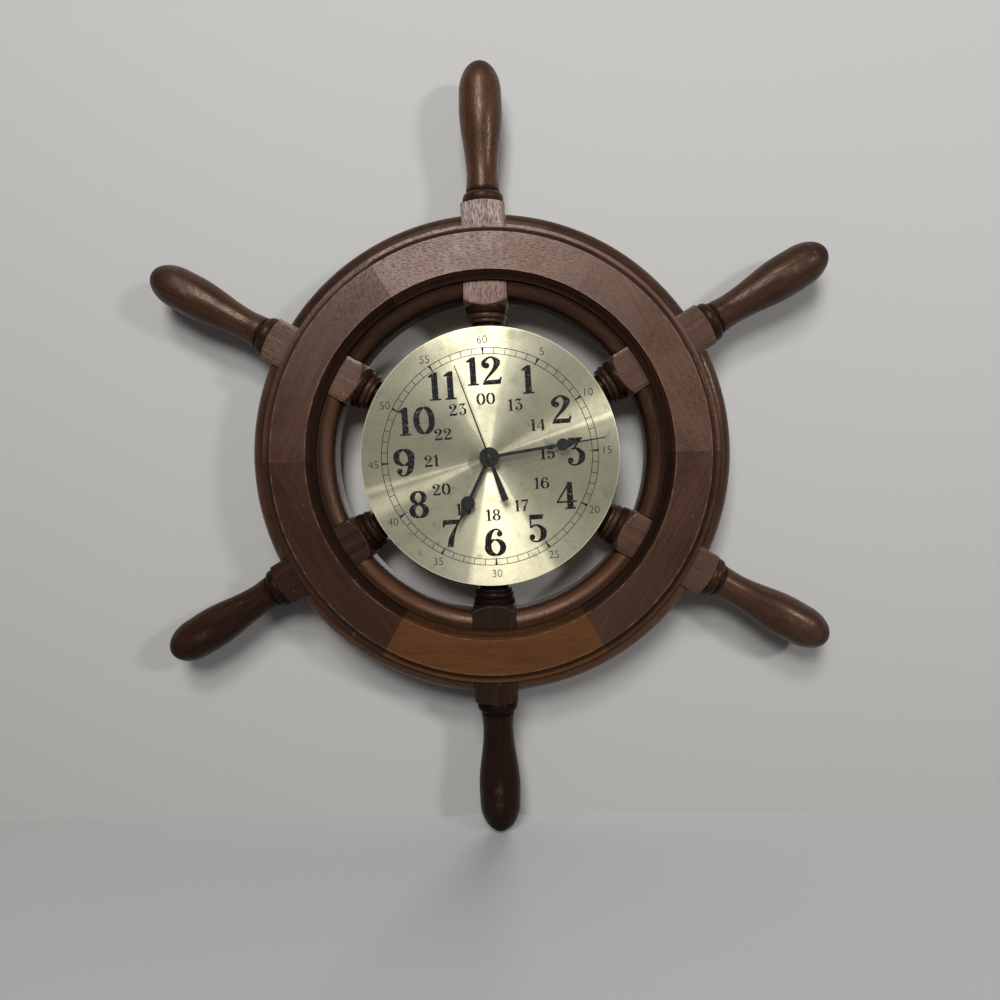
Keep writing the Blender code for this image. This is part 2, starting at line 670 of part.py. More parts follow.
def chamfered_disc(radius, chamfer, near, far, sides):
    """Round disc with both edges chamfered."""
    stations = ((radius - chamfer, near), (radius, near + chamfer), (radius, far - chamfer),
                (radius - chamfer, far))
    rings = []
    for reach, depth in stations:
        rings.append([(x, -depth, z) for x, z in circle(reach, sides)])
    return loft(rings)


def build_hub():
    """Turned hub with a pocket for the movement, six tenon sockets and a hole for the bushing."""
    disc = chamfered_disc(HUB_RADIUS, HUB_CHAMFER, HUB_BACK, TIMBER_FRONT, HUB_SIDES)
    hub = place("hub", new_mesh("hub", disc), dark_wood)
    pocket = rounded_box(-POCKET_HALF, -POCKET_HALF, POCKET_HALF, POCKET_HALF, CASE_CORNER)
    bushing_hole = circle(SHAFT_HOLE, TUBE_SIDES)
    cut(hub, "movement_pocket", stack([([pocket], HUB_BACK - HUB_WEB, POCKET_FLOOR),
                                       ([bushing_hole], POCKET_FLOOR, TIMBER_FRONT + HUB_WEB)]))
    for i in range(SPOKES):
        socket = radial_peg(TENON_DIAMETER / 2 + GAP, HUB_RADIUS - TENON_LENGTH - GAP,
                            HUB_RADIUS + HUB_WALL, i * SPOKE_PITCH)
        cut(hub, f"tenon_socket_{i + 1}", socket)


def build_dial():
    plate = circle(DIAL_DIAMETER / 2, DIAL_SIDES)
    hole = circle(SHAFT_HOLE, TUBE_SIDES)
    place("dial", new_mesh("dial", stack([([plate, hole], DIAL_BACK, DIAL_FRONT)])), brass)


# Hands
def spade(length, stem, belly, reach):
    """Half widths along a spade hand: a slim stem, a round belly, a hollow taper and a needle point."""
    radius = belly / 2
    needle = NEEDLE_WIDTH / 2
    widths = [(0.0, stem / 2)]
    start = math.asin(stem / belly)
    for i in range(ROUND_STEPS + 2):
        turn = start + (BELLY_SWEEP - start) * i / (ROUND_STEPS + 1)
        widths.append((reach - radius * math.cos(turn), radius * math.sin(turn)))
    widths.append((reach + WAIST_REACH * radius, WAIST_WIDTH * radius))
    widths += [(reach + TAPER_REACH * radius, needle), (length, 0.0)]
    return widths


def build_hands():
    """Black spade hands for the hours and minutes, and a needle with a tail for the seconds."""
    hour_outline = blade(spade(HOUR_LENGTH, HOUR_STEM, HOUR_BELLY, HOUR_BELLY_REACH), HOUR_BOSS_DIAMETER / 2)
    hour_bore = circle(HOUR_RADIUS + GAP, TUBE_SIDES)
    hour = stack([([hour_outline, hour_bore], HOUR_BACK, HOUR_BACK + HAND_THICKNESS)])
    place("hour_hand", new_mesh("hour_hand", hour), black, angle=HOUR_ANGLE)

    minute_blade = spade(MINUTE_LENGTH, MINUTE_STEM, MINUTE_BELLY, MINUTE_BELLY_REACH)
    minute_outline = blade(minute_blade, MINUTE_BOSS_DIAMETER / 2)
    minute_bore = circle(CANNON_RADIUS + GAP, TUBE_SIDES)
    minute = stack([([minute_outline, minute_bore], MINUTE_BACK, MINUTE_BACK + HAND_THICKNESS)])
    place("minute_hand", new_mesh("minute_hand", minute), black, angle=MINUTE_ANGLE)
    build_second_hand()


def build_second_hand():
    boss = SECOND_BOSS_DIAMETER / 2
    needle = NEEDLE_WIDTH / 2
    tail_end = SECOND_TAIL_WIDTH / 2
    start = math.asin(needle / boss)
    arc = [start + (math.pi - 2 * start) * i / ARBOR_SIDES for i in range(ARBOR_SIDES + 1)]
    right = [step_from(CENTRE_AXIS, boss, angle) for angle in arc]
    tail = [(tail_end, -SECOND_TAIL), (-tail_end, -SECOND_TAIL)]
    left = [(-x, z) for x, z in reversed(right)]
    point = [(-needle / 2, SECOND_LENGTH), (needle / 2, SECOND_LENGTH)]
    outline = right + tail + left + point
    bore = circle(SECOND_RADIUS + GAP, TUBE_SIDES)
    cap = circle(boss - GAP, TUBE_SIDES)
    front = SECOND_BACK + HAND_THICKNESS
    hand = stack([([outline, bore], SECOND_BACK, front), ([cap], front, front + HAND_THICKNESS)])
    place("second_hand", new_mesh("second_hand", hand), black, angle=SECOND_ANGLE)


# Movement
def level(number):
    """Near and far depths of a wheel on one level of the train."""
    near = COVER_FRONT + LEVEL_GAP + number * LEVEL_STEP
    return near, near + WHEEL_THICKNESS


def pivot_hole(radius, axis):
    return circle(radius + GAP, ARBOR_SIDES, axis)


def stator_posts():
    """Posts of the case that carry the stator, one under each leg."""
    reach = COIL_LENGTH / 2 + GAP + STATOR_LEG / 2
    return [circle(STATOR_LEG / 2 - GAP, ARBOR_SIDES, (ROTOR_AXIS[0] + side * reach, ROTOR_AXIS[1]))
            for side in (-1, 1)]


def build_case():
    """Moulded case: a wheel chamber, a battery bay below it and a threaded bushing in front."""
    shell = rounded_box(-CASE_HALF, CASE_BOTTOM, CASE_HALF, CASE_TOP, CASE_CORNER)
    bay = box(-BAY_HALF, BAY_BOTTOM, BAY_HALF, BAY_TOP)
    inner = CASE_CORNER - CASE_WALL
    mouth = rounded_box(-BAY_HALF, -TRAIN_REACH, BAY_HALF, CASE_TOP - CASE_WALL, inner)
    chamber = rounded_box(COVER_LEDGE - BAY_HALF, COVER_LEDGE / 2 - TRAIN_REACH, BAY_HALF - COVER_LEDGE,
                          CASE_TOP - CASE_WALL - COVER_LEDGE, inner)
    stud = circle(STUD_RADIUS, ARBOR_SIDES, MOTION_AXIS)
    posts = stator_posts()
    bore = circle(BUSHING_BORE, TUBE_SIDES)
    bushing = circle(BUSHING_RADIUS, TUBE_SIDES)
    pivots = [pivot_hole(ARBOR_RADIUS, THIRD_AXIS), pivot_hole(ARBOR_RADIUS, ROTOR_AXIS),
              pivot_hole(KNOB_ARBOR_DIAMETER / 2, KNOB_AXIS)]
    stud_end = level(MOTION_LEVEL)[0] - GAP
    sections = [([shell, bay, mouth], CASE_BACK, COVER_FRONT + GAP),
                ([shell, bay, chamber], COVER_FRONT + GAP, stud_end),
                ([shell, bay, chamber, stud], stud_end, STATOR_FRONT + GAP),
                ([shell, bay, chamber, stud] + posts, STATOR_FRONT + GAP, BAY_FLOOR),
                ([shell, bore] + pivots, BAY_FLOOR, BAY_FLOOR + PIVOT_DEPTH),
                ([shell, bore], BAY_FLOOR + PIVOT_DEPTH, CASE_FRONT),
                ([bushing, bore], CASE_FRONT, BUSHING_FRONT)]
    place("movement_case", new_mesh("movement_case", stack(sections)), black_plastic)
    cover = rounded_box(GAP - BAY_HALF, GAP - TRAIN_REACH, BAY_HALF - GAP, CASE_TOP - CASE_WALL - GAP, inner)
    holes = [pivot_hole(SECOND_RADIUS, CENTRE_AXIS), pivot_hole(ARBOR_RADIUS, THIRD_AXIS),
             pivot_hole(ARBOR_RADIUS, INTERMEDIATE_AXIS), pivot_hole(ARBOR_RADIUS, ROTOR_AXIS)]
    knob_hole = pivot_hole(KNOB_ARBOR_DIAMETER / 2, KNOB_AXIS)
    split = COVER_FRONT - PIVOT_DEPTH
    lid = stack([([cover, knob_hole], CASE_BACK, split), ([cover, knob_hole] + holes, split, COVER_FRONT)])
    place("movement_cover", new_mesh("movement_cover", lid), black_plastic)


def build_fastening():
    """Gasket behind the hub's web, and a washer and nut on the bushing in front of the dial."""
    hole = circle(SHAFT_HOLE, TUBE_SIDES)
    gasket = [circle(SHAFT_HOLE + GASKET_RIM, TUBE_SIDES), hole]
    gasket_solid = stack([(gasket, GASKET_BACK, GASKET_BACK + GASKET_THICKNESS)])
    place("shaft_gasket", new_mesh("shaft_gasket", gasket_solid), rubber)
    washer = [circle(SHAFT_HOLE + WASHER_RIM, TUBE_SIDES), hole]
    washer_solid = stack([(washer, WASHER_BACK, WASHER_BACK + WASHER_THICKNESS)])
    place("shaft_washer", new_mesh("shaft_washer", washer_solid), brass)
    nut = [circle((SHAFT_HOLE + NUT_WALL) / math.cos(math.pi / NUT_SIDES), NUT_SIDES), hole]
    nut_solid = stack([(nut, NUT_BACK, NUT_BACK + NUT_THICKNESS)])
    place("shaft_nut", new_mesh("shaft_nut", nut_solid), brass)


def lie_along_x(solid, middle, depth, height):
    """Turn a solid from the depth axis to the x axis about its place."""
    points, faces = solid
    return [(-y - middle, x - depth, z + height) for x, y, z in points], faces


def build_power():
    """Battery in its bay, with a sprung contact at each end."""
    height = (BAY_TOP + BAY_BOTTOM) / 2
    can = circle(BATTERY_DIAMETER / 2, SPOKE_SIDES)
    nub = circle(BATTERY_NUB_DIAMETER / 2, TUBE_SIDES)
    shoulder = BATTERY_LENGTH - BATTERY_NUB_LENGTH
    cell = stack([([can], 0.0, shoulder), ([nub], shoulder, BATTERY_LENGTH)])
    laid = lie_along_x(cell, BATTERY_LENGTH / 2, BATTERY_DEPTH, height)
    place("battery", new_mesh("battery", laid), battery_label)
    half = CONTACT_WIDTH / 2
    leaf = rounded_box(-half, -half, half, half, CASE_WALL / 2)
    for name, side in (("battery_contact_plus", 1), ("battery_contact_minus", -1)):
        middle = side * (BATTERY_LENGTH / 2 + GAP + CONTACT_THICKNESS / 2)
        solid = stack([([leaf], middle - CONTACT_THICKNESS / 2, middle + CONTACT_THICKNESS / 2)])
        place(name, new_mesh(name, lie_along_x(solid, 0.0, BATTERY_DEPTH, height)), steel)


def build_motor():
    """Coil between the stator's legs, with the rotor turning in the stator's hole."""
    rotor_x, rotor_z = ROTOR_AXIS
    coil_z = rotor_z + STATOR_BAR / 2 + GAP + COIL_FLANGE_DIAMETER
    inner = COIL_LENGTH / 2 + GAP
    outer = inner + STATOR_LEG
    low = rotor_z - STATOR_BAR / 2
    bar = rotor_z + STATOR_BAR / 2
    high = coil_z + STATOR_LEG
    leg = [(outer, low), (outer, high), (inner, high), (inner, bar)]
    outline = [(rotor_x - x, z) for x, z in leg] + [(rotor_x + x, z) for x, z in reversed(leg)]
    hole = circle(MAGNET_DIAMETER / 2 + ROTOR_AIR_GAP, TUBE_SIDES, ROTOR_AXIS)
    place("stator", new_mesh("stator", stack([([outline, hole], STATOR_BACK, STATOR_FRONT)])), steel)
    flange = circle(COIL_FLANGE_DIAMETER / 2, TUBE_SIDES)
    winding = circle(COIL_DIAMETER / 2, TUBE_SIDES)
    coil = stack([([flange], 0.0, COIL_FLANGE), ([winding], COIL_FLANGE, COIL_LENGTH - COIL_FLANGE),
                  ([flange], COIL_LENGTH - COIL_FLANGE, COIL_LENGTH)])
    laid = lie_along_x(coil, COIL_LENGTH / 2 - rotor_x, (STATOR_BACK + STATOR_FRONT) / 2, coil_z)
    place("drive_coil", new_mesh("drive_coil", laid), copper)


def build_circuit():
    """Circuit board on the case's front wall, with the quartz crystal lying on it."""
    left = COVER_LEDGE - BAY_HALF + BOARD_INSET
    top = CASE_TOP - CASE_WALL - COVER_LEDGE - GAP
    board = box(left, top - BOARD_HEIGHT, left + BOARD_WIDTH, top)
    front = BAY_FLOOR - GAP
    solid = stack([([board], front - BOARD_THICKNESS, front)])
    place("circuit_board", new_mesh("circuit_board", solid), board_green)
    can = stack([([circle(CRYSTAL_DIAMETER / 2, TUBE_SIDES)], 0.0, CRYSTAL_LENGTH)])
    depth = front - BOARD_THICKNESS - GAP - CRYSTAL_DIAMETER / 2
    middle = CRYSTAL_LENGTH / 2 - left - BOARD_WIDTH / 2
    laid = lie_along_x(can, middle, depth, top - BOARD_HEIGHT / 2)
    place("quartz_crystal", new_mesh("quartz_crystal", laid), steel)


def turned(name, sections, finish, axis=CENTRE_AXIS):
    """One wheel with its pinion and arbor, placed on its axis."""
    place(name, new_mesh(name, stack(sections)), finish, axis=axis)


def build_train():
    """Going train from the rotor to the second and minute hands."""
    arbor = circle(ARBOR_RADIUS, ARBOR_SIDES)
    back_pivot = COVER_FRONT - PIVOT_DEPTH + GAP
    front_pivot = BAY_FLOOR + PIVOT_DEPTH - GAP
    second_near, second_far = level(SECOND_LEVEL)
    rotor_near, rotor_far = level(ROTOR_LEVEL)
    third_near, third_far = level(THIRD_LEVEL)
    centre_near, centre_far = level(CENTRE_LEVEL)
    motion_far = level(MOTION_LEVEL)[1]

    second_arbor = circle(SECOND_RADIUS, ARBOR_SIDES)
    turned("second_wheel", [
        ([second_arbor], back_pivot, second_near),
        ([gear(SECOND_TEETH, MODULE, 0.0)], second_near, second_far),
        ([second_arbor], second_far, third_near),
        ([gear(PINION, MODULE, 0.0)], third_near, third_far),
        ([second_arbor], third_far, SECOND_BACK + HAND_THICKNESS - GAP)], nylon)

    pinion_phase = mesh_phase(SECOND_TEETH, 0.0, CENTRE_AXIS, PINION, INTERMEDIATE_AXIS)
    turned("intermediate_wheel", [
        ([arbor], back_pivot, second_near),
        ([gear(PINION, MODULE, pinion_phase)], second_near, rotor_near),
        ([gear(ROTOR_TEETH, MODULE, 0.0)], rotor_near, rotor_far)], nylon, INTERMEDIATE_AXIS)

    rotor_phase = mesh_phase(ROTOR_TEETH, 0.0, INTERMEDIATE_AXIS, PINION, ROTOR_AXIS)
    magnet_front = MAGNET_BACK + MAGNET_THICKNESS
    turned("rotor", [
        ([arbor], back_pivot, rotor_near),
        ([gear(PINION, MODULE, rotor_phase)], rotor_near, rotor_far),
        ([arbor], rotor_far, MAGNET_BACK),
        ([circle(MAGNET_DIAMETER / 2, TUBE_SIDES)], MAGNET_BACK, magnet_front),
        ([arbor], magnet_front, front_pivot)], ferrite, ROTOR_AXIS)

    third_phase = mesh_phase(PINION, 0.0, CENTRE_AXIS, THIRD_TEETH, THIRD_AXIS)
    turned("third_wheel", [
        ([arbor], back_pivot, third_near),
        ([gear(THIRD_TEETH, MODULE, third_phase)], third_near, third_far),
        ([gear(PINION, CENTRE_MODULE, 0.0)], third_far, centre_far),
        ([arbor], centre_far, front_pivot)], nylon, THIRD_AXIS)

    centre_phase = mesh_phase(PINION, 0.0, THIRD_AXIS, CENTRE_TEETH, CENTRE_AXIS)
    bore = circle(CANNON_BORE, ARBOR_SIDES)
    turned("centre_wheel", [
        ([gear(CENTRE_TEETH, CENTRE_MODULE, centre_phase), bore], centre_near, centre_far),
        ([gear(CANNON_TEETH, MOTION_MODULE, 0.0), bore], centre_far, motion_far),
        ([circle(CANNON_RADIUS, TUBE_SIDES), bore], motion_far, MINUTE_BACK + HAND_THICKNESS)], nylon)


def knob_outline():
    """Round grip with pointed ribs all round."""
    points = []
    for i in range(2 * KNOB_RIBS):
        reach = KNOB_DIAMETER / 2 - (i % 2) * KNOB_RIB_HEIGHT
        points.append(step_from(CENTRE_AXIS, reach, math.pi * i / KNOB_RIBS))
    return points


def build_motion_work():
    """Wheels that step the minute hand's turn down to the hour hand, and the setting knob."""
    motion_near, motion_far = level(MOTION_LEVEL)
    hour_near, hour_far = level(HOUR_LEVEL)

    motion_phase = mesh_phase(CANNON_TEETH, 0.0, CENTRE_AXIS, MOTION_TEETH, MOTION_AXIS)
    stud_bore = circle(STUD_RADIUS + GAP, ARBOR_SIDES)
    turned("motion_wheel", [
        ([gear(MOTION_TEETH, MOTION_MODULE, motion_phase), stud_bore], motion_near, motion_far),
        ([gear(MOTION_PINION, HOUR_MODULE, 0.0), stud_bore], motion_far, hour_far)], nylon, MOTION_AXIS)

    hour_phase = mesh_phase(MOTION_PINION, 0.0, MOTION_AXIS, HOUR_TEETH, CENTRE_AXIS)
    bore = circle(HOUR_BORE, TUBE_SIDES)
    turned("hour_wheel", [
        ([gear(HOUR_TEETH, HOUR_MODULE, hour_phase), bore], hour_near, hour_far),
        ([circle(HOUR_RADIUS, TUBE_SIDES), bore], hour_far, HOUR_BACK + HAND_THICKNESS)], nylon)

    knob_phase = mesh_phase(MOTION_TEETH, motion_phase, MOTION_AXIS, KNOB_TEETH, KNOB_AXIS)
    arbor = circle(KNOB_ARBOR_DIAMETER / 2, ARBOR_SIDES)
    knob_front = CASE_BACK - GAP
    turned("set_knob", [
        ([knob_outline()], knob_front - KNOB_THICKNESS, knob_front),
        ([arbor], knob_front, motion_near),
        ([gear(KNOB_TEETH, MOTION_MODULE, knob_phase)], motion_near, motion_far),
        ([arbor], motion_far, BAY_FLOOR + PIVOT_DEPTH - GAP)], black_plastic, KNOB_AXIS)


for leftover in list(bpy.data.objects):
    bpy.data.objects.remove(leftover)

clock = bpy.data.objects.new("ship_wheel_clock", None)
bpy.context.scene.collection.objects.link(clock)

dark_wood = material("dark stained wood", (0.055, 0.018, 0.010), 0.35)
red_wood = material("red brown stained wood", (0.105, 0.034, 0.016), 0.30)
brass = material("brushed brass", (0.72, 0.55, 0.28), 0.32, 1.0)
black = material("black enamel", (0.012, 0.012, 0.013), 0.40)
black_plastic = material("black moulded plastic", (0.02, 0.02, 0.02), 0.50)
nylon = material("white nylon", (0.75, 0.74, 0.70), 0.45)
steel = material("plated steel", (0.60, 0.60, 0.60), 0.30, 1.0)
ferrite = material("bonded magnet", (0.03, 0.03, 0.035), 0.55)
copper = material("copper winding", (0.62, 0.27, 0.12), 0.35, 1.0)
rubber = material("black rubber", (0.03, 0.03, 0.03), 0.80)
battery_label = material("battery jacket", (0.10, 0.11, 0.12), 0.35)
board_green = material("circuit board", (0.04, 0.16, 0.07), 0.50)

build_spokes()
build_rim()
build_hanger()
build_hub()
build_dial()
build_hands()
build_case()
build_fastening()
build_power()
build_motor()
build_circuit()
build_train()
build_motion_work()
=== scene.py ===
"""Ship wheel clock: the finished surfaces around the packed solids.

Frame: +Z is up, the dial faces -Y and the wall is the plane y = 0. A depth is a distance from
the wall, so a point at depth d has y = -d. Angles run clockwise from +Z as seen from the front.
Lengths are in metres.
"""

import math

import bmesh
import bpy
import numpy as np
from bpy.props import FloatProperty, FloatVectorProperty, PointerProperty
from mathutils import Matrix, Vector
from mathutils.geometry import delaunay_2d_cdt


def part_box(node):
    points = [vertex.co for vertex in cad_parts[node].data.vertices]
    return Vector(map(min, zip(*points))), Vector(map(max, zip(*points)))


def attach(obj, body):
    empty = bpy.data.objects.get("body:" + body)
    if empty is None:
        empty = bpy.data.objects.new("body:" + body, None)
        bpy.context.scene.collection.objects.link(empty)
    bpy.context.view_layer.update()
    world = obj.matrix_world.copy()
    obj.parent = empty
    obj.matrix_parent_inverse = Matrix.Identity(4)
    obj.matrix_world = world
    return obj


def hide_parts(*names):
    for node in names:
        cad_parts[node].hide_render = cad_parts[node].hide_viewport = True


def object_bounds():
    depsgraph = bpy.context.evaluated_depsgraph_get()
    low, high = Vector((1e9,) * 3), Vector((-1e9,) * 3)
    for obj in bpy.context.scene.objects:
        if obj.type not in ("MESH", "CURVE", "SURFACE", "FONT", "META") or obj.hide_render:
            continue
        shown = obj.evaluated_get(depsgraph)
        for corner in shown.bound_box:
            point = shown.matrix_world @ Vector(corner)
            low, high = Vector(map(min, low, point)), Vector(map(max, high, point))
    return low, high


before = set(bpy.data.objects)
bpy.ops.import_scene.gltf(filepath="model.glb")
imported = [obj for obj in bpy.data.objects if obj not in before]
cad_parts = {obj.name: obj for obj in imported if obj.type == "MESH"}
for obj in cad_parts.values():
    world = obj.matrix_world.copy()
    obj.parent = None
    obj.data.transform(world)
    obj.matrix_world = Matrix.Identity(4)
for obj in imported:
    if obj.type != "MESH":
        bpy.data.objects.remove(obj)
CAD_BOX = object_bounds()

bl_info = {
    "name": "Ship Wheel Clock",
    "version": (1, 0, 0),
    "blender": (4, 5, 0),
    "location": "View3D > Sidebar > Ship Wheel",
    "description": "Dresses a ship wheel wall clock in timber, brass and black enamel",
    "category": "Object",
}

MM = 0.001
SPOKES = 6
PITCH = 2 * math.pi / SPOKES
GAP = 0.3 * MM                      # clearance kept between pieces that touch
SEED = 7
LOG_REACH = 3.0                     # boards are cut from anywhere within this reach of a log's middle
SOFT_EDGE = math.radians(35)        # an edge that turns less than this is shaded smooth


# Sizes read from the solids
def node_points(node):
    """Corner points of a solid as an (n, 3) array."""
    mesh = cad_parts[node].data
    flat = np.empty(len(mesh.vertices) * 3, np.float32)
    mesh.vertices.foreach_get("co", flat)
    return flat.reshape(-1, 3).astype(float)


def radii(node):
    """Least and greatest distance of a solid's corners from the wheel's axis."""
    points = node_points(node)
    reach = np.hypot(points[:, 0], points[:, 2])
    return float(reach.min()), float(reach.max())


def depths(node):
    """Distances from the wall of a solid's back and front."""
    low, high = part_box(node)
    return -high.y, -low.y


def far_angle(node):
    """Clockwise angle of the corner that lies furthest from the wheel's axis."""
    points = node_points(node)
    far = points[np.argmax(np.hypot(points[:, 0], points[:, 2]))]
    return math.atan2(far[0], far[2])


RIM_INNER, RIM_OUTER = radii("felloe_1")
FACING_INNER, FACING_OUTER = radii("front_facing_1")
TIMBER_BACK, TIMBER_FRONT = depths("felloe_1")
BLANK = TIMBER_FRONT - TIMBER_BACK
AXIS_DEPTH = (TIMBER_FRONT + TIMBER_BACK) / 2
HUB_RADIUS = radii("hub")[1]
HUB_BACK, HUB_FRONT = depths("hub")
SHAFT_HOLE, DIAL_RADIUS = radii("dial")
DIAL_BACK, DIAL_FRONT = depths("dial")
TENON_START = float(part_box("spoke_1")[0].z)
TIP_RADIUS = float(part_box("spoke_1")[1].z)


# Settings that a user would change
def length(name, description, default):
    """Length setting."""
    return FloatProperty(name=name, description=description, default=default, unit="LENGTH", precision=5)


def angle(name, description, degrees):
    """Angle setting, given in degrees."""
    return FloatProperty(name=name, description=description, default=math.radians(degrees), subtype="ANGLE")


def power(name, description, default):
    """Lamp power setting."""
    return FloatProperty(name=name, description=description, default=default, unit="POWER")


def colour(name, description, default):
    """Colour setting."""
    return FloatVectorProperty(name=name, description=description, default=default, subtype="COLOR",
                               size=3, min=0.0, max=1.0)


class WheelSizes(bpy.types.PropertyGroup):
    """Turned and moulded timber."""

    tenon: length("Tenon", "Diameter of the tenon in the hub", 14.0 * MM)
    foot: length("Foot", "Diameter of the plain part next to the hub", 17.0 * MM)
    inner_bead: length("Inner Bead", "Diameter of the small bead", 21.6 * MM)
    inner_bead_length: length("Inner Bead Length", "Length of the small bead", 2.0 * MM)
    main_bead: length("Main Bead", "Diameter of the large bead", 23.4 * MM)
    main_bead_length: length("Main Bead Length", "Length of the large bead", 3.6 * MM)
    quirk: length("Quirk", "Diameter of the groove beside a bead", 20.8 * MM)
    ovolo: length("Ovolo", "Length of the rounded part beside the block", 3.8 * MM)
    block_inside: length("Block Inside", "Block that shows inside the rim", 4.0 * MM)
    block_outside: length("Block Outside", "Block that shows outside the rim", 6.7 * MM)
    shoulder_inside: length("Shoulder Inside", "Length of the block's rounded end towards the hub", 4.4 * MM)
    shoulder: length("Shoulder", "Length of the block's rounded end towards the handle", 3.0 * MM)
    collar: length("Collar", "Diameter of the bead at the handle's foot", 24.0 * MM)
    collar_length: length("Collar Length", "Length of that bead", 6.8 * MM)
    flare: length("Flare", "Diameter of the ring beyond the bead", 19.9 * MM)
    flare_length: length("Flare Length", "Length of that ring", 1.6 * MM)
    neck: length("Neck", "Diameter at the handle's thinnest point", 18.2 * MM)
    neck_length: length("Neck Length", "From the ring to the thinnest point", 9.0 * MM)
    handle: length("Handle", "Diameter at the handle's thickest point", 25.1 * MM)
    crown: length("Crown", "From the thickest point to the tip", 27.0 * MM)
    tip: length("Tip", "Diameter where the rounded end starts", 24.6 * MM)
    tip_length: length("Tip Length", "Length of the rounded end", 18.0 * MM)
    rim_round: length("Rim Round", "Radius of the rim's rounded edges", 8.0 * MM)
    facing_hollow: length("Facing Hollow", "Depth of a facing's hollows and width of the inner one", 4.7 * MM)
    outer_hollow: length("Outer Hollow", "Width of the hollow along a facing's outer edge", 3.5 * MM)
    ledge: length("Ledge", "Width of the ledge beyond that hollow", 2.0 * MM)
    eased: length("Eased Edge", "Width of the worn edges", 0.35 * MM)


class DialSizes(bpy.types.PropertyGroup):
    """Printing on the dial."""

    turn: angle("Turn", "How far the printing is turned clockwise", -2.1)
    hour_height: length("Hour Height", "Height of the hour numerals", 16.2 * MM)
    hour_reach: length("Hour Reach", "From the axis to an hour numeral's middle", 49.6 * MM)
    wide_inset: length("Wide Inset", "How far a wide number at the side moves in", 3.8 * MM)
    day_height: length("Day Height", "Height of the twenty-four hour numerals", 6.7 * MM)
    day_reach: length("Day Reach", "From the axis to one of those", 33.6 * MM)
    minute_height: length("Minute Height", "Height of the minute numbers", 4.7 * MM)
    minute_reach: length("Minute Reach", "From the axis to a minute number", 67.6 * MM)
    track_outer: length("Track Outside", "Radius of the minute track's outer line", 62.8 * MM)
    track_inner: length("Track Inside", "Radius of the minute track's inner line", 59.3 * MM)
    line: length("Line", "Width of the printed lines", 0.36 * MM)
    ink: length("Ink", "Thickness of the ink", 0.05 * MM)


class HandSizes(bpy.types.PropertyGroup):
    """Spade hands and the second hand."""

    hour_boss: length("Hour Boss", "Diameter of the hour hand's boss", 11.0 * MM)
    hour_stem: length("Hour Stem", "Width of the hour hand's stem", 1.9 * MM)
    hour_belly: length("Hour Belly", "Diameter of the hour hand's belly", 8.2 * MM)
    hour_belly_reach: length("Hour Belly Reach", "From the axis to that belly", 29.2 * MM)
    minute_boss: length("Minute Boss", "Diameter of the minute hand's boss", 11.4 * MM)
    minute_stem: length("Minute Stem", "Width of the minute hand's stem", 1.8 * MM)
    minute_belly: length("Minute Belly", "Diameter of the minute hand's belly", 7.0 * MM)
    minute_belly_reach: length("Minute Belly Reach", "From the axis to that belly", 42.5 * MM)
    needle: length("Needle", "Width of the points", 1.0 * MM)
    second_boss: length("Second Boss", "Diameter of the second hand's boss", 4.4 * MM)
    tail: length("Tail", "From the axis to the second hand's square end", 26.5 * MM)
    tail_width: length("Tail Width", "Width of that end", 4.0 * MM)
    bevel: length("Bevel", "Width of the softened edges", 0.09 * MM)


class Finishes(bpy.types.PropertyGroup):
    """Colours of the finishes."""

    timber_light: colour("Timber Light", "Light fibres of the stained timber", (0.100, 0.041, 0.021))
    timber_dark: colour("Timber Dark", "Dark fibres of the stained timber", (0.029, 0.012, 0.0075))
    facing_light: colour("Facing Light", "Light fibres of the facings", (0.112, 0.040, 0.019))
    facing_dark: colour("Facing Dark", "Dark fibres of the facings", (0.044, 0.015, 0.007))
    warm_light: colour("Warm Light", "Light fibres of the bottom facing", (0.130, 0.043, 0.008))
    warm_dark: colour("Warm Dark", "Dark fibres of the bottom facing", (0.060, 0.019, 0.004))
    worn: colour("Worn", "Bare timber along the edges", (0.200, 0.125, 0.085))
    brass_dull: colour("Dull Brass", "Dial between the bright rays", (0.470, 0.448, 0.322))
    # Bright brass paints the dial's reflection in its bright wedges.
    brass_bright: colour("Bright Brass", "Dial in the bright rays", (0.990, 0.925, 0.635))
    enamel: colour("Enamel", "Hands and printing", (0.006, 0.0055, 0.0065))
    plastic: colour("Plastic", "Moulded movement case", (0.022, 0.022, 0.024))


class StageSettings(bpy.types.PropertyGroup):
    """Wall, floor, lamps and camera."""

    wall: colour("Wall", "Colour of the wall", (0.555, 0.547, 0.528))
    floor: colour("Floor", "Colour of the floor", (0.400, 0.400, 0.395))
    sky: FloatProperty(name="Sky", description="Strength of the even light", default=0.08)
    panel: power("Panel", "Power of the lamp above the camera", 8.4)
    overhead: power("Overhead", "Power of the lamp overhead", 13.0)
    side: power("Side", "Power of the small lamp to the right", 5.0)
    behind: power("Behind", "Power of the lamp behind the wall", 11.0)
    lens: FloatProperty(name="Lens", description="Focal length in millimetres", default=27.0)
    pitch: angle("Pitch", "Camera's turn about its level axis", 3.4133)
    yaw: angle("Yaw", "Camera's turn about its upright axis", 1.5496)
    roll: angle("Roll", "Camera's turn about its line of sight", -1.6326)
    offset: FloatVectorProperty(name="Offset", unit="LENGTH", size=3,
                                description="Wheel's middle right of, below and before the camera",
                                default=(-5.126 * MM, -26.749 * MM, 466.606 * MM))


# Surfaces
def polar(radius, turn, depth):
    """Points (r sin a, -d, r cos a) for radius r, clockwise angle a and depth d."""
    radius, turn, depth = np.broadcast_arrays(radius, turn, depth)
    return np.stack([radius * np.sin(turn), -depth, radius * np.cos(turn)], axis=-1)


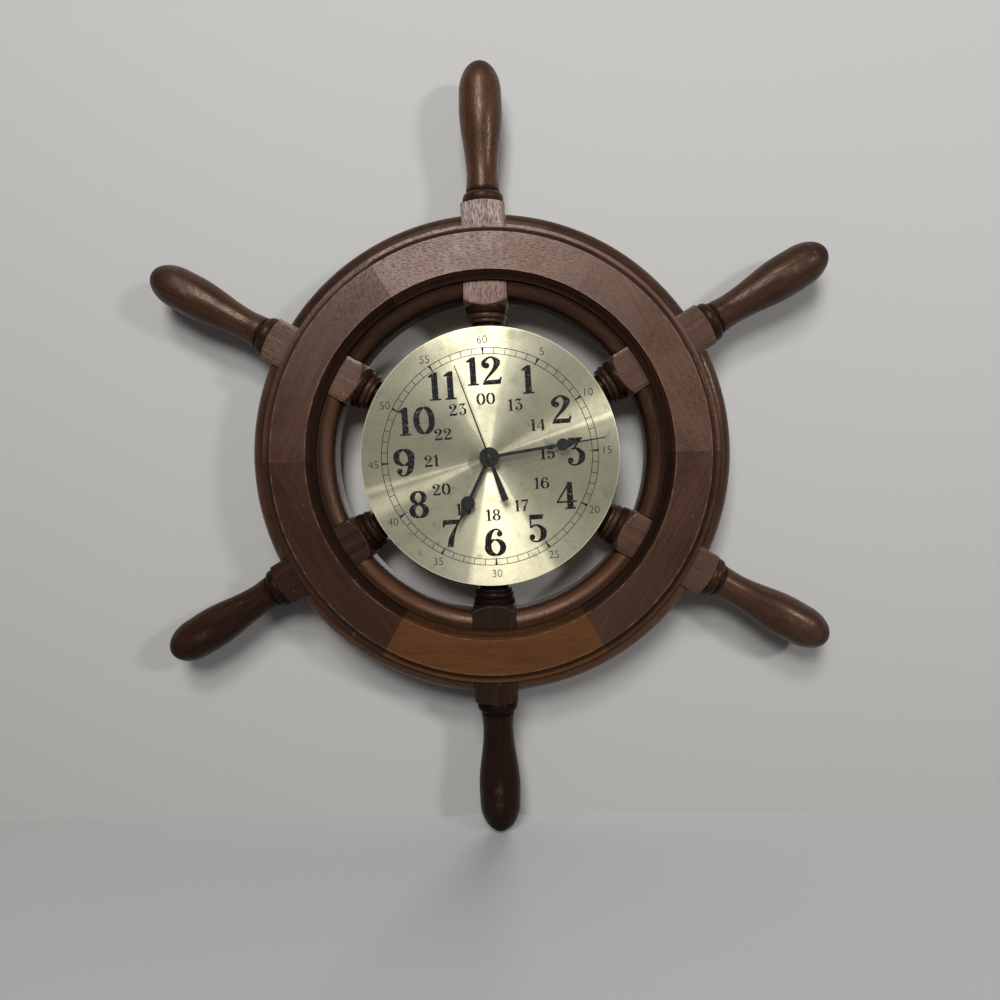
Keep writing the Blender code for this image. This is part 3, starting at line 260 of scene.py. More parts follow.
def grid_faces(rows, columns, wrap_rows):
    """Quads that join each point of a grid to its next row and column. The columns always wrap."""
    i = np.arange(rows if wrap_rows else rows - 1)[:, None]
    j = np.arange(columns)[None, :]
    below = (i + 1) % rows
    right = (j + 1) % columns
    corners = [i * columns + j, i * columns + right, below * columns + right, below * columns + j]
    return np.stack(np.broadcast_arrays(*corners), axis=-1).reshape(-1, 4).tolist()


def tube_faces(rows, columns):
    """Quads of a grid whose rows are rings, with flat faces over the first and the last ring."""
    ends = [list(range(columns)), list(range((rows - 1) * columns, rows * columns))]
    return grid_faces(rows, columns, False) + ends


def full_turn(sides):
    """Angles of equal steps once round."""
    return np.linspace(0.0, 2 * math.pi, sides, endpoint=False)


def make_mesh(name, points, faces, attributes):
    """Mesh from points and faces, with its faces turned out, soft edges smooth and attributes set."""
    mesh = bpy.data.meshes.new(name)
    mesh.from_pydata(points.reshape(-1, 3).tolist(), [], faces)
    bm = bmesh.new()
    bm.from_mesh(mesh)
    bmesh.ops.recalc_face_normals(bm, faces=bm.faces)
    bm.to_mesh(mesh)
    bm.free()
    for label, values in attributes.items():
        kind, field = ("FLOAT_VECTOR", "vector") if values.ndim > 1 else ("FLOAT", "value")
        layer = mesh.attributes.new(label, kind, "POINT")
        layer.data.foreach_set(field, values.astype(np.float32).ravel())
    mesh.shade_smooth()
    mesh.set_sharp_from_angle(angle=SOFT_EDGE)
    return mesh


def add_piece(name, points, faces, body, finish, replaces=(), attributes=None):
    """One finished piece that rides on a body and stands for solids."""
    mesh = make_mesh(name, points, faces, attributes or {})
    mesh.materials.append(finish)
    piece = bpy.data.objects.new(name, mesh)
    bpy.context.scene.collection.objects.link(piece)
    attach(piece, body)
    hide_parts(*replaces)
    return piece


def timber_attributes(across, depth, along, wear, grime, number, tone=None, bare=0.0):
    """Place of each point in its own board, for the grain, with worn edges, painted shade in hollows, sawn
    flats with a painted sheen, and tone that is partly painted light and shade.

    The board's middle is drawn at random, so no two boards show the same grain.
    """
    draw = np.random.default_rng(SEED + number)
    middle = draw.uniform(-LOG_REACH, LOG_REACH, 3)
    if tone is None:
        tone = draw.uniform(-1.0, 1.0)
    board = np.stack(np.broadcast_arrays(across, depth, along), axis=-1) + middle
    values = {"wear": wear, "grime": grime, "bare": bare, "tone": tone}
    made = {label: np.broadcast_to(value, board.shape[:-1]).ravel() for label, value in values.items()}
    made["grain"] = board.reshape(-1, 3)
    return made


def eased(start, stop, steps):
    """Values from s to e that leave and arrive level: s + (e - s)(1 - cos t) / 2 for t from 0 to pi."""
    return start + (stop - start) * (1 - np.cos(np.linspace(0.0, math.pi, steps))) / 2


def bead(start, extent, foot, top, steps=13):
    """Half-round bead: radius f + (top - f) sqrt(sin t) at start + extent t / pi, for t from 0 to pi."""
    turn = (1 - np.cos(np.linspace(0.0, math.pi, steps))) / 2 * math.pi
    return start + extent * turn / math.pi, foot + (top - foot) * np.sqrt(np.clip(np.sin(turn), 0.0, 1.0))


# Spokes, with values for each one clockwise from the top
# Tones of the spokes: the bottom and lower left ones are much darker, as painted shade; the rest differ by
# board.
SPOKE_TONE_AND_SHADE = (0.6, -0.8, -0.2, -3.0, -2.0, -0.4)   # lightness of the timber
# Share by which each block's flats are lighter and greyer: stain worn away, and a painted sheen that is
# strongest on the top and upper blocks. It also raises the wear of the block's edges.
BLOCK_BARE_AND_SHEEN = (1.3, 0.9, 0.35, 0.2, 0.05, 0.9)       # how far the stain has gone from the block's flats
LEAST_WEAR = 0.35                   # wear of the block's edges where the stain is whole
CORNER_CUT = 1.385                  # reach of the block's rubbed corners, in half sides
OVOLO_TOP = 0.97                    # reach of the rounded part beside the block, in half sides
COLLAR_CREST = 0.42                 # share of the collar's length at which it is fullest
COLLAR_FOOT = 0.4                   # share of its fall by which the collar starts below its crest
NICK = 0.25 * MM                    # depth of the nicks on both sides of the ring beyond the collar
# The three shares below are painted shade on the turned parts.
COLLAR_SHADE = 0.6                  # least darkness of the collar
OVOLO_SHADE = 0.9                   # least darkness of the rounded part beside the block
BEAD_SHADE = 0.35                   # least darkness of the beads


def spoke_profile(sizes):
    """Distance from the wheel's axis and turned radius, from the tenon to the handle's tip."""
    half = BLANK / 2
    corner = half * math.sqrt(2)
    block_start = RIM_INNER - sizes.block_inside
    block_end = RIM_OUTER + sizes.block_outside
    ovolo_start = block_start - sizes.ovolo
    main_start = ovolo_start - sizes.main_bead_length
    inner_start = main_start - sizes.inner_bead_length
    seat = HUB_RADIUS + GAP
    foot = sizes.foot / 2
    quirk = sizes.quirk / 2
    parts = [(np.array([TENON_START, seat]), np.full(2, sizes.tenon / 2)),
             (np.linspace(seat, inner_start, 4), np.full(4, foot)),
             bead(inner_start, sizes.inner_bead_length, quirk, sizes.inner_bead / 2),
             bead(main_start, sizes.main_bead_length, quirk, sizes.main_bead / 2)]
    quarter = np.linspace(0.0, math.pi / 2, 10)
    # Rounded part up to the block, then the block's own end, where the circle grows past the flats.
    swell = quirk + (OVOLO_TOP * half - quirk) * np.sin(quarter) ** 0.6
    parts.append((ovolo_start + sizes.ovolo * (1 - np.cos(quarter)), swell))
    rise = half + (corner - half) * np.sin(quarter)
    run = quarter / quarter[-1]
    flats = np.linspace(block_start + sizes.shoulder_inside, block_end - sizes.shoulder, 26)[1:-1]
    parts.append((block_start + sizes.shoulder_inside * run, rise))
    parts.append((flats, np.full(len(flats), corner)))
    parts.append((block_end - sizes.shoulder * run[::-1], rise[::-1]))
    # Collar: a bead that is fullest near its middle and falls steeply to the ring at the handle's foot.
    collar = sizes.collar / 2
    flare = sizes.flare / 2
    nick = flare - NICK
    along = np.linspace(0.03, 1.0, 16)
    rise_drop = COLLAR_FOOT * (along / COLLAR_CREST - 1) ** 2
    fall_drop = (np.abs(along - COLLAR_CREST) / (1 - COLLAR_CREST)) ** 3
    drop = np.where(along < COLLAR_CREST, rise_drop, fall_drop)
    parts.append((block_end + sizes.collar_length * along, collar - (collar - nick) * drop))
    ring_start = block_end + sizes.collar_length
    ring = np.linspace(0.0, math.pi, 9)
    parts.append((ring_start + sizes.flare_length * ring / math.pi, flare - NICK * (1 - np.sin(ring))))
    neck_start = ring_start + sizes.flare_length
    neck_end = neck_start + sizes.neck_length
    crown = TIP_RADIUS - sizes.crown
    parts.append((np.linspace(neck_start, neck_end, 10)[1:], eased(nick, sizes.neck / 2, 10)[1:]))
    parts.append((np.linspace(neck_end, crown, 40)[1:], eased(sizes.neck / 2, sizes.handle / 2, 40)[1:]))
    # The rounded end stops just short of its pole.
    end = np.linspace(0.02, 0.985 * math.pi / 2, 26)
    parts.append((TIP_RADIUS - sizes.tip_length * (1 - np.sin(end)), sizes.tip / 2 * np.cos(end)))
    return np.concatenate([part[0] for part in parts]), np.concatenate([part[1] for part in parts])


def hollows(station, radius):
    """How deep each station lies in a groove: its drop below the largest radius within reach of it,
    from 0 at the least drop that counts to 1 at the full one."""
    reach = 3.0 * MM
    least = 0.4 * MM
    full = 2.0 * MM
    near = np.abs(station[:, None] - station[None, :]) < reach
    drop = np.where(near, radius[None, :], 0.0).max(axis=1) - radius
    return np.clip((drop - least) / (full - least), 0.0, 1.0)


def spoke_points(along, across, out, facing):
    """Points at distances along a spoke that faces an angle, across it and out from its middle."""
    sideways = np.array([math.cos(facing), 0.0, -math.sin(facing)])
    return polar(along, facing, AXIS_DEPTH + out) + across[..., None] * sideways


def add_spoke(number, sizes, finish, block_finish):
    """Turned spoke: at angle t the section reaches min(r, h / max(|sin t|, |cos t|)), a circle of
    radius r cut flat by the square blank of half side h, whose corners are rubbed off."""
    sides = 96
    half = BLANK / 2
    stain_edge = 1.0 * MM
    station, turned = spoke_profile(sizes)
    turn = full_turn(sides)[None, :]
    radius = turned[:, None]
    flat = half / np.maximum(np.abs(np.sin(turn)), np.abs(np.cos(turn)))
    limit = np.minimum(flat, half * CORNER_CUT)
    reach = np.minimum(radius, limit)
    across = reach * np.sin(turn)
    out = reach * np.cos(turn)
    along = np.broadcast_to(station[:, None], reach.shape)
    bare_and_sheen = BLOCK_BARE_AND_SHEEN[number - 1]
    wear = (LEAST_WEAR + (1 - LEAST_WEAR) * bare_and_sheen) * np.exp(-((radius - limit) / sizes.eased) ** 2)
    bare = bare_and_sheen * np.clip((radius - half) / stain_edge, 0.0, 1.0)
    past_block = station - RIM_OUTER - sizes.block_outside
    before_block = RIM_INNER - sizes.block_inside - station
    # Painted shade: darker the deeper a station lies in a groove, and at least a set share on the collar, on
    # the rounded part beside the block and on the beads.
    grime = hollows(station, np.minimum(turned, half))
    for distance, extent, least in ((past_block, sizes.collar_length, COLLAR_SHADE),
                                    (before_block, sizes.ovolo, OVOLO_SHADE),
                                    (before_block - sizes.ovolo, 3 * sizes.main_bead_length, BEAD_SHADE)):
        grime = np.where((distance > 0) & (distance < extent), np.maximum(grime, least), grime)
    points = spoke_points(along, across, out, (number - 1) * PITCH)
    attributes = timber_attributes(across, out, along, wear, grime[:, None], number,
                                   SPOKE_TONE_AND_SHADE[number - 1], bare)
    name = f"spoke_{number}"
    piece = add_piece(f"turned_{name}", points, tube_faces(len(station), sides), "wheel", finish,
                      (name,), attributes)
    piece.data.materials.append(block_finish)
    flats = (before_block[1:] < 0) & (past_block[1:] < 0)
    index = np.concatenate([np.repeat(flats, sides), np.zeros(2, bool)]).astype(np.int32)
    piece.data.polygons.foreach_set("material_index", index)


# Rim, with values for each board clockwise from the top
# Tones of the front facings: the top facing is lighter and the lower ones darker, as painted light and shade,
# besides their own tone.
FACING_TONE_AND_LIGHT = (1.3, 0.5, -1.2, 0.0, -1.8, -0.9)    # lightness of the front facings
# Painted shade in each front facing's outer hollow, most on the top facing.
OUTER_SHADE = (0.90, 0.75, 0.60, 0.60, 0.25, 0.30)   # darkness of the front facings' outer hollow
# Tones of the felloes: the lower right one is lighter, as a painted highlight; the rest differ by board.
FELLOE_TONE_AND_LIGHT = (-0.8, -0.5, 3.0, 0.8, 0.4, -1.2)    # lightness of the felloes
# Painted shade in every facing's inner hollow and in the back facings' outer hollow.
INNER_SHADE = 0.95                   # darkness of every facing's inner hollow
BACK_SHADE = 0.5                     # darkness of the back facings' outer hollow
END_WEAR = 0.4                      # share of the edge wear that a segment's ends keep
SEAM = 0.03 * MM                    # half the gap between two facings
FELLOE_BOARD = 20                   # board numbers of each ring start after these
FACING_BOARD = 30
BACK_BOARD = 40
HUB_BOARD = 60


def round_box(left, bottom, right, top, corner, steps=9):
    """Rectangle with quarter-circle corners, as (n, 2) points."""
    turn = np.linspace(0.0, math.pi / 2, steps)
    arcs = []
    for quarter, (x, y) in enumerate(((right, top), (left, top), (left, bottom), (right, bottom))):
        middle = np.array([x - corner if x == right else x + corner, y - corner if y == top else y + corner])
        swing = turn + quarter * math.pi / 2
        arcs.append(middle + corner * np.stack([np.cos(swing), np.sin(swing)], axis=-1))
    return np.concatenate(arcs)


def spread(profile, steps):
    """More points along a closed profile, with every run between two points cut into equal steps."""
    after = np.roll(profile, -1, axis=0)
    part = np.arange(steps)[None, :, None] / steps
    return (profile[:, None] * (1 - part) + after[:, None] * part).reshape(-1, 2)


def ring_segment(profile, middle, end_offset, steps):
    """Profile of (radius, depth) points carried round the axis for one pitch, with flat ends.

    At radius r the ends stop asin(end_offset / r) short of the pitch's radial lines.
    """
    radius = profile[None, :, 0]
    portion = np.linspace(-0.5, 0.5, steps)[:, None]
    turn = portion * (PITCH - 2 * np.arcsin(end_offset / radius))
    return turn, polar(radius, middle + turn, profile[None, :, 1])


def add_segment(name, profile, wear, grime, middle, end_offset, number, slot, finish, tone=None):
    """Ring segment whose grain runs straight along the chord at its middle."""
    steps = 72
    turn, points = ring_segment(profile, middle, end_offset, steps)
    across = profile[None, :, 0] * np.cos(turn)
    along = profile[None, :, 0] * np.sin(turn)
    faces = tube_faces(steps, len(profile))
    wear = np.broadcast_to(wear, turn.shape).copy()
    wear[[0, -1]] *= END_WEAR
    return add_piece(f"shaped_{name}", points, faces, "wheel", finish, (name,),
                     timber_attributes(across, profile[None, :, 1], along, wear, grime, number, tone))


def facing_profile(foot, face, sizes, hollow_shade):
    """Section of a facing from its foot to its face, hollowed along both edges by quarter ellipses
    that are centred on the missing corners, with a ledge beyond the outer hollow and the crest of each
    hollow marked as worn.

    The hollow shade is how dark the painted shade in the outer hollow is.
    """
    out = 1 if face > foot else -1
    cove = sizes.facing_hollow
    turn = np.linspace(0.0, math.pi / 2, 10)
    depth = face - out * cove * np.cos(turn)
    ease = sizes.eased * np.array([1.0, 3.0])
    ledge_start = FACING_OUTER - sizes.ledge
    inner = FACING_INNER + cove * np.sin(turn)
    outer = ledge_start - sizes.outer_hollow * np.sin(turn)
    flat = np.linspace(inner[-1], outer[-1], 8)[1:-1]
    ledge = np.array([ledge_start + sizes.eased, FACING_OUTER - sizes.eased, FACING_OUTER])
    radius = np.concatenate([[FACING_INNER], inner, inner[-1] + ease, flat, outer[-1] - ease[::-1],
                             outer[::-1], ledge, [FACING_OUTER]])
    level = np.concatenate([[foot], depth, np.full(len(flat) + 2 * len(ease), face), depth[::-1],
                            np.full(len(ledge), depth[0]), [foot]])
    crest = np.minimum(np.abs(radius - inner[-1]), np.abs(radius - outer[-1]))
    wear = np.exp(-(crest / (1.5 * sizes.eased)) ** 2) * (np.abs(level - face) < 2 * sizes.eased)
    strength = np.where(radius < (FACING_INNER + FACING_OUTER) / 2, INNER_SHADE, hollow_shade)
    grime = strength * np.clip((np.abs(face - level) - 0.3 * cove) / (0.5 * cove), 0.0, 1.0)
    grime = np.where(radius > ledge_start + sizes.eased / 2, 0.0, grime)
    return np.stack([radius, level], axis=-1), wear, grime


def add_rim(sizes, felloe_finish, facing_finish, warm_finish):
    """Six felloes between the spokes, and the facings that cover their joints on both sides."""
    felloe = spread(round_box(RIM_INNER, TIMBER_BACK, RIM_OUTER, TIMBER_FRONT, sizes.rim_round), 4)
    reach = felloe[:, 0]
    # Painted shade lies beside the facings' inner and outer edges, and along the rim's inner edge.
    inside = np.clip(1.3 - np.abs(reach - FACING_INNER) / (3.5 * MM), 0.0, 1.0)
    outside = 0.6 * np.clip(1.2 - np.abs(reach - FACING_OUTER) / (2.4 * MM), 0.0, 1.0)
    innermost = 0.85 * np.clip((RIM_INNER + 2.5 * MM - reach) / (2.0 * MM), 0.0, 1.0)
    felloe_shade = np.max([inside, outside, innermost], axis=0)
    back_face, back_foot = depths("back_facing_1")
    back = facing_profile(back_foot, back_face, sizes, BACK_SHADE)
    for number in range(1, SPOKES + 1):
        on_spoke = (number - 1) * PITCH
        add_segment(f"felloe_{number}", felloe, 0.0, felloe_shade, on_spoke + PITCH / 2, BLANK / 2 + GAP,
                    FELLOE_BOARD + number, "dark_wood", felloe_finish, FELLOE_TONE_AND_LIGHT[number - 1])
        finish = warm_finish if number == 1 + SPOKES // 2 else facing_finish
        front = facing_profile(*depths("front_facing_1"), sizes, OUTER_SHADE[number - 1])
        add_segment(f"front_facing_{number}", *front, on_spoke, SEAM, FACING_BOARD + number, "red_wood",
                    finish, FACING_TONE_AND_LIGHT[number - 1])
        rear = add_segment(f"back_facing_{number}", *back, on_spoke, SEAM, BACK_BOARD + number, "red_wood",
                           facing_finish)
        if number == 1:
            cut_recess(rear)


def cut(piece, points, faces):
    """Take a solid away from a piece for good."""
    name = f"cutter_{piece.name}"
    cutter = bpy.data.objects.new(name, make_mesh(name, points, faces, {}))
    bpy.context.scene.collection.objects.link(cutter)
    cutter.hide_render = True
    cutter.hide_viewport = True
    modifier = piece.modifiers.new("cut", "BOOLEAN")
    modifier.operation = "DIFFERENCE"
    modifier.solver = "EXACT"
    modifier.object = cutter
    shown = bpy.context.evaluated_depsgraph_get()
    mesh = bpy.data.meshes.new_from_object(piece.evaluated_get(shown))
    piece.modifiers.clear()
    spent = (piece.data, cutter.data)
    piece.data = mesh
    bpy.data.objects.remove(cutter)
    for old in spent:
        bpy.data.meshes.remove(old)


def prism(outline, near, far):
    """Straight-sided solid over an outline of (x, z) points between two depths."""
    level = np.array([near, far])[:, None]
    points = np.stack(np.broadcast_arrays(outline[:, 0], -level, outline[:, 1]), axis=-1)
    return points, tube_faces(2, len(outline))


def cut_recess(rear):
    """Seat for the hanger plate in the top back facing, and room for a screw's head behind it."""
    past_wall = 2.0 * MM
    seat_corner = 3.0 * MM
    room_half = 4.8 * MM
    room_below = 7.8 * MM
    room_above = 5.5 * MM
    room_corner = 2.0 * MM
    room_depth = 2.3 * MM
    low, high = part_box("hanger_plate")
    plate_back, plate_front = depths("hanger_plate")
    seat = round_box(low.x - GAP, low.z - GAP, high.x + GAP, high.z + GAP, seat_corner)
    cut(rear, *prism(seat, -past_wall, plate_front + GAP))
    middle = (low.z + high.z) / 2
    room = round_box(-room_half, middle - room_below, room_half, middle + room_above, room_corner)
    cut(rear, *prism(room, plate_back, plate_front + room_depth))


# Hub
def pocket_reach(turn, half, corner):
    """Distance from the axis to a rounded square of a half side, at each angle."""
    side = np.stack([np.abs(np.sin(turn)), np.abs(np.cos(turn))])
    flat = half / side.max(axis=0)
    inset = half - corner
    along = inset * side.sum(axis=0)
    round_off = along + np.sqrt(np.clip(along ** 2 - 2 * inset ** 2 + corner ** 2, 0.0, None))
    return np.where(side.min(axis=0) * flat > inset, round_off, flat)


def add_hub(sizes, finish):
    """Turned disc with a square pocket: rings of radius r(t) at a depth, carried once round the section."""
    sides = 192
    bore_sides = 48
    play = 0.5 * MM
    pocket_corner = 3.0 * MM
    web = 5.0 * MM
    chamfer = 1.5 * MM
    lip = 0.4 * MM
    turn = full_turn(sides)
    low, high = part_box("movement_case")
    half = max(high.x, -low.x, high.z, -low.z) + play
    pocket = pocket_reach(turn, half, pocket_corner)
    floor = HUB_FRONT - web
    rings = [(SHAFT_HOLE, floor), (SHAFT_HOLE, HUB_FRONT)]
    rings += [(reach, HUB_FRONT) for reach in np.linspace(SHAFT_HOLE, HUB_RADIUS - chamfer, 6)[1:]]
    rings += [(HUB_RADIUS, HUB_FRONT - chamfer), (HUB_RADIUS, HUB_BACK + chamfer),
              (HUB_RADIUS - chamfer, HUB_BACK)]
    rings += [(pocket + lip, HUB_BACK), (pocket, HUB_BACK + lip), (pocket, floor)]
    radius = np.stack([np.broadcast_to(reach, sides) for reach, _ in rings])
    level = np.array([depth for _, depth in rings])[:, None]
    points = polar(radius, turn[None, :], level)
    attributes = timber_attributes(points[..., 2], level, points[..., 0], 0.0, 0.0, HUB_BOARD)
    faces = grid_faces(len(rings), sides, True)
    hub = add_piece("turned_hub", points, faces, "wheel", finish, ("hub",), attributes)
    bore = full_turn(bore_sides)[None, :]
    reach = sizes.tenon / 2 + GAP
    along = np.array([TENON_START - GAP, HUB_RADIUS + web])[:, None]
    for number in range(SPOKES):
        socket = spoke_points(along, reach * np.sin(bore), reach * np.cos(bore), number * PITCH)
        cut(hub, socket, tube_faces(2, bore_sides))


# Flat plates
def counter_clockwise(loop):
    """The loop, turned so that its area is positive."""
    x, z = loop[:, 0], loop[:, 1]
    area = np.sum(x * np.roll(z, -1) - np.roll(x, -1) * z)
    return loop if area > 0 else loop[::-1]


def inset(loop, distance):
    """Loop moved to its left by a distance, along the normal of its neighbours' chord."""
    chord = np.roll(loop, -1, axis=0) - np.roll(loop, 1, axis=0)
    normal = np.stack([-chord[:, 1], chord[:, 0]], axis=-1)
    return loop + distance * normal / np.linalg.norm(normal, axis=1, keepdims=True)


def loop_spans(loops):
    """Point numbers of each loop when all the loops are joined end to end."""
    starts = np.cumsum([0] + [len(loop) for loop in loops])
    return [list(range(start, stop)) for start, stop in zip(starts[:-1], starts[1:])]


def fill(loops):
    """Triangles over the region that loops bound, counted even-odd."""
    corners = np.concatenate(loops) / MM
    flat = delaunay_2d_cdt(corners.tolist(), [], loop_spans(loops), 2, 1e-5)
    origin = np.array([ids[0] for ids in flat[3]])
    return origin[np.array(flat[2])]


def plate(outline, holes, near, far, bevel):
    """Flat plate between two depths with both edges of its outline softened.

    Each loop is drawn at four levels, inset by the bevel on the two faces, and the faces are filled.
    """
    loops = [counter_clockwise(outline)] + [counter_clockwise(hole)[::-1] for hole in holes]
    narrow = [inset(loop, bevel) for loop in loops]
    levels = [(narrow, near), (loops, near + bevel), (loops, far - bevel), (narrow, far)]
    points = np.concatenate([np.stack([loop[:, 0], np.full(len(loop), -depth), loop[:, 1]], axis=-1)
                             for shape, depth in levels for loop in shape])
    count = sum(len(loop) for loop in loops)
    faces = []
    start = 0
    for loop in loops:
        index = start + np.arange(len(loop))
        after = np.roll(index, -1)
        for row in range(len(levels) - 1):
            quads = np.stack([index + row * count, after + row * count, after + (row + 1) * count,
                              index + (row + 1) * count], axis=-1)
            faces += quads.tolist()
        start += len(loop)
    lid = fill(narrow)
    return points, faces + lid.tolist() + (lid + 3 * count).tolist()


def circle(radius, sides, middle=(0.0, 0.0)):
    """Points round a circle, clockwise from its top."""
    turn = full_turn(sides)
    return np.array(middle) + radius * np.stack([np.sin(turn), np.cos(turn)], axis=-1)


def turn_clockwise(points, facing):
    """Points of a flat outline or a plate, turned clockwise about the wheel's axis."""
    x, z = points[..., 0].copy(), points[..., -1].copy()
    turned = points.copy()
    turned[..., 0] = x * math.cos(facing) + z * math.sin(facing)
    turned[..., -1] = z * math.cos(facing) - x * math.sin(facing)
    return turned


# Dial
def add_dial(finish):
    """Brass disc: a rectangle of (radius, depth) with softened corners, turned round the axis."""
    sides = 256
    soft = 0.2 * MM
    section = round_box(SHAFT_HOLE, DIAL_BACK, DIAL_RADIUS, DIAL_FRONT, soft, 4)
    points = polar(section[None, :, 0], full_turn(sides)[:, None], section[None, :, 1])
    add_piece("dial_disc", points, grid_faces(sides, len(section), True), "wheel", finish, ("dial",))


# Numerals, drawn with a broad pen: a stroke is a run of (x, y, half width) and height is 1
BALL = 0.105                        # radius of the round ends
PEN_RISE = 0.032                    # half height of the nib
FAT = 0.118                         # half width of the thick strokes
HAIR = 0.034                        # half width of the thin strokes
HOUR_WEIGHT = 0.93                  # share of those widths that the numerals have
DAY_WEIGHT = 0.85
PRINT_LIFT = 0.01 * MM              # the ink's back stands this far before the dial


def pen_path(stations, samples=48):
    """Smooth run through stations: a cubic between each pair whose slopes are half the chord of
    the neighbours, sampled evenly."""
    stations = np.array(stations)
    ends = np.concatenate([[2 * stations[0] - stations[1]], stations, [2 * stations[-1] - stations[-2]]])
    slope = (ends[2:] - ends[:-2]) / 2
    place = np.linspace(0.0, len(stations) - 1, samples)
    first = np.minimum(place.astype(int), len(stations) - 2)
    t = (place - first)[:, None]
    return ((2 * t ** 3 - 3 * t ** 2 + 1) * stations[first] + (t ** 3 - 2 * t ** 2 + t) * slope[first]
            + (3 * t ** 2 - 2 * t ** 3) * stations[first + 1] + (t ** 3 - t ** 2) * slope[first + 1])


def pen_stroke(stations, weight, samples=48):
    """Outline swept by an elliptical nib: on each side the path is moved by (a^2 n, b^2 m) / sqrt(a^2 n^2 +
    b^2 m^2), where (n, m) is the normal, a the half width and b the half height of the nib."""
    run = pen_path(stations, samples)
    slope = np.gradient(run[:, :2], axis=0)
    normal = np.stack([-slope[:, 1], slope[:, 0]], axis=-1)
    normal /= np.linalg.norm(normal, axis=1, keepdims=True)
    wide = (run[:, 2] * weight) ** 2
    high = (PEN_RISE * (0.4 + 0.6 * weight)) ** 2
    move = np.stack([wide * normal[:, 0], high * normal[:, 1]], axis=-1)
    move /= np.sqrt(wide * normal[:, 0] ** 2 + high * normal[:, 1] ** 2)[:, None]
    return np.concatenate([run[:, :2] + move, (run[:, :2] - move)[::-1]])


def oval(x, y, across, up, weight, fat=FAT):
    """Ring drawn with the pen, as two overlapping halves."""
    overlap = 0.03
    halves = []
    for start in (-overlap, math.pi - overlap):
        turn = np.linspace(start, start + math.pi + 2 * overlap, 9)
        run = np.stack([x + across * np.sin(turn), y + up * np.cos(turn), np.full(9, fat)], axis=-1)
        halves.append(pen_stroke(run, weight))
    return halves


def numeral_outlines(digit, weight):
    """Overlapping outlines of one numeral, and its width."""
    ball = BALL * (0.45 + 0.55 * weight)

    def stroke(*stations):
        return pen_stroke(stations, weight)

    def dot(x, y, radius=ball):
        return circle(radius, 28, (x, y))

    bowl = ((0.15, 0.53, HAIR), (0.24, 0.60, HAIR), (0.40, 0.615, 0.075), (0.575, 0.47, 0.112),
            (0.595, 0.31, FAT), (0.55, 0.14, 0.110), (0.38, 0.034, 0.06), (0.20, 0.060, HAIR),
            (0.10, 0.165, HAIR))
    if digit == "0":
        return oval(0.385, 0.5, 0.385 - FAT * weight, 0.468, weight), 0.77
    if digit == "1":
        stem = FAT * weight
        flag = np.array([(0.25 + stem, 1.0), (0.23, 1.0), (0.03, 0.875), (0.04, 0.815), (0.25 + stem, 0.86)])
        return [stroke((0.25, 0.02, FAT), (0.25, 0.5, FAT), (0.25, 0.96, FAT)), flag,
                stroke((0.05, PEN_RISE, 0.1), (0.45, PEN_RISE, 0.1))], 0.48
    if digit == "2":
        arc = stroke((0.24, 0.585, 0.07), (0.105, 0.66, 0.075), (0.12, 0.84, 0.085), (0.35, 0.966, 0.06),
                     (0.545, 0.86, 0.115), (0.56, 0.70, 0.122), (0.44, 0.50, 0.095), (0.22, 0.27, 0.055),
                     (0.075, 0.10, 0.035))
        foot = np.array([(0.03, 0.0), (0.66, 0.0), (0.72, 0.25), (0.67, 0.25), (0.61, 0.165), (0.22, 0.165),
                         (0.03, 0.075)])
        return [arc, dot(0.205, 0.675), foot], 0.74
    if digit == "3":
        flag = np.array([(0.10, 0.76), (0.145, 1.0), (0.63, 1.0), (0.63, 0.95), (0.53, 0.855), (0.19, 0.855),
                         (0.145, 0.76)])
        return [flag, stroke((0.59, 0.97, HAIR), (0.44, 0.78, HAIR), (0.30, 0.59, HAIR)), stroke(*bowl[1:]),
                dot(0.185, 0.20)], 0.74
    if digit == "4":
        return [stroke((0.505, 0.965, HAIR), (0.28, 0.63, HAIR), (0.045, 0.275, HAIR)),
                stroke((0.02, 0.265, 0.05), (0.74, 0.265, 0.05)),
                stroke((0.50, 0.02, FAT), (0.50, 0.4, FAT), (0.50, 0.96, 0.10)),
                stroke((0.31, PEN_RISE, 0.1), (0.69, PEN_RISE, 0.1))], 0.76
    if digit == "5":
        flag = np.array([(0.115, 1.0), (0.63, 1.0), (0.575, 0.83), (0.12, 0.83)])
        return [flag, stroke((0.148, 0.97, HAIR), (0.148, 0.75, HAIR), (0.148, 0.52, HAIR)), stroke(*bowl),
                dot(0.185, 0.20)], 0.74
    if digit in "69":
        outlines = [stroke((0.63, 0.84, HAIR), (0.55, 0.93, HAIR), (0.40, 0.966, 0.06), (0.21, 0.82, 0.112),
                           (0.135, 0.50, FAT), (0.17, 0.20, FAT), (0.385, 0.034, 0.06))]
        outlines += oval(0.385, 0.315, 0.385 - FAT * weight, 0.285, weight) + [dot(0.565, 0.80)]
        if digit == "9":
            outlines = [np.array([0.77, 1.0]) - outline for outline in outlines]
        return outlines, 0.77
    if digit == "7":
        bar = np.array([(0.03, 0.74), (0.06, 1.0), (0.68, 1.0), (0.68, 0.93), (0.60, 0.835), (0.14, 0.835),
                        (0.08, 0.74)])
        leg = stroke((0.635, 0.93, HAIR), (0.48, 0.66, 0.06), (0.34, 0.36, 0.108), (0.27, 0.02, FAT))
        return [bar, leg], 0.70
    return (oval(0.37, 0.752, 0.30 - 0.1 * weight, 0.216, weight, 0.1)
            + oval(0.37, 0.272, 0.355 - FAT * weight, 0.24, weight)), 0.74


def united(outlines):
    """Flat region covered by any of some overlapping outlines, as points and triangles."""
    loops = [counter_clockwise(outline) for outline in outlines]
    corners = np.concatenate(loops).tolist()
    points, _, faces, _, _, owners = delaunay_2d_cdt(corners, [], loop_spans(loops), 0, 1e-6)
    covered = [face for face, owner in zip(faces, owners) if owner]
    return np.array([tuple(point) for point in points]), np.array(covered)


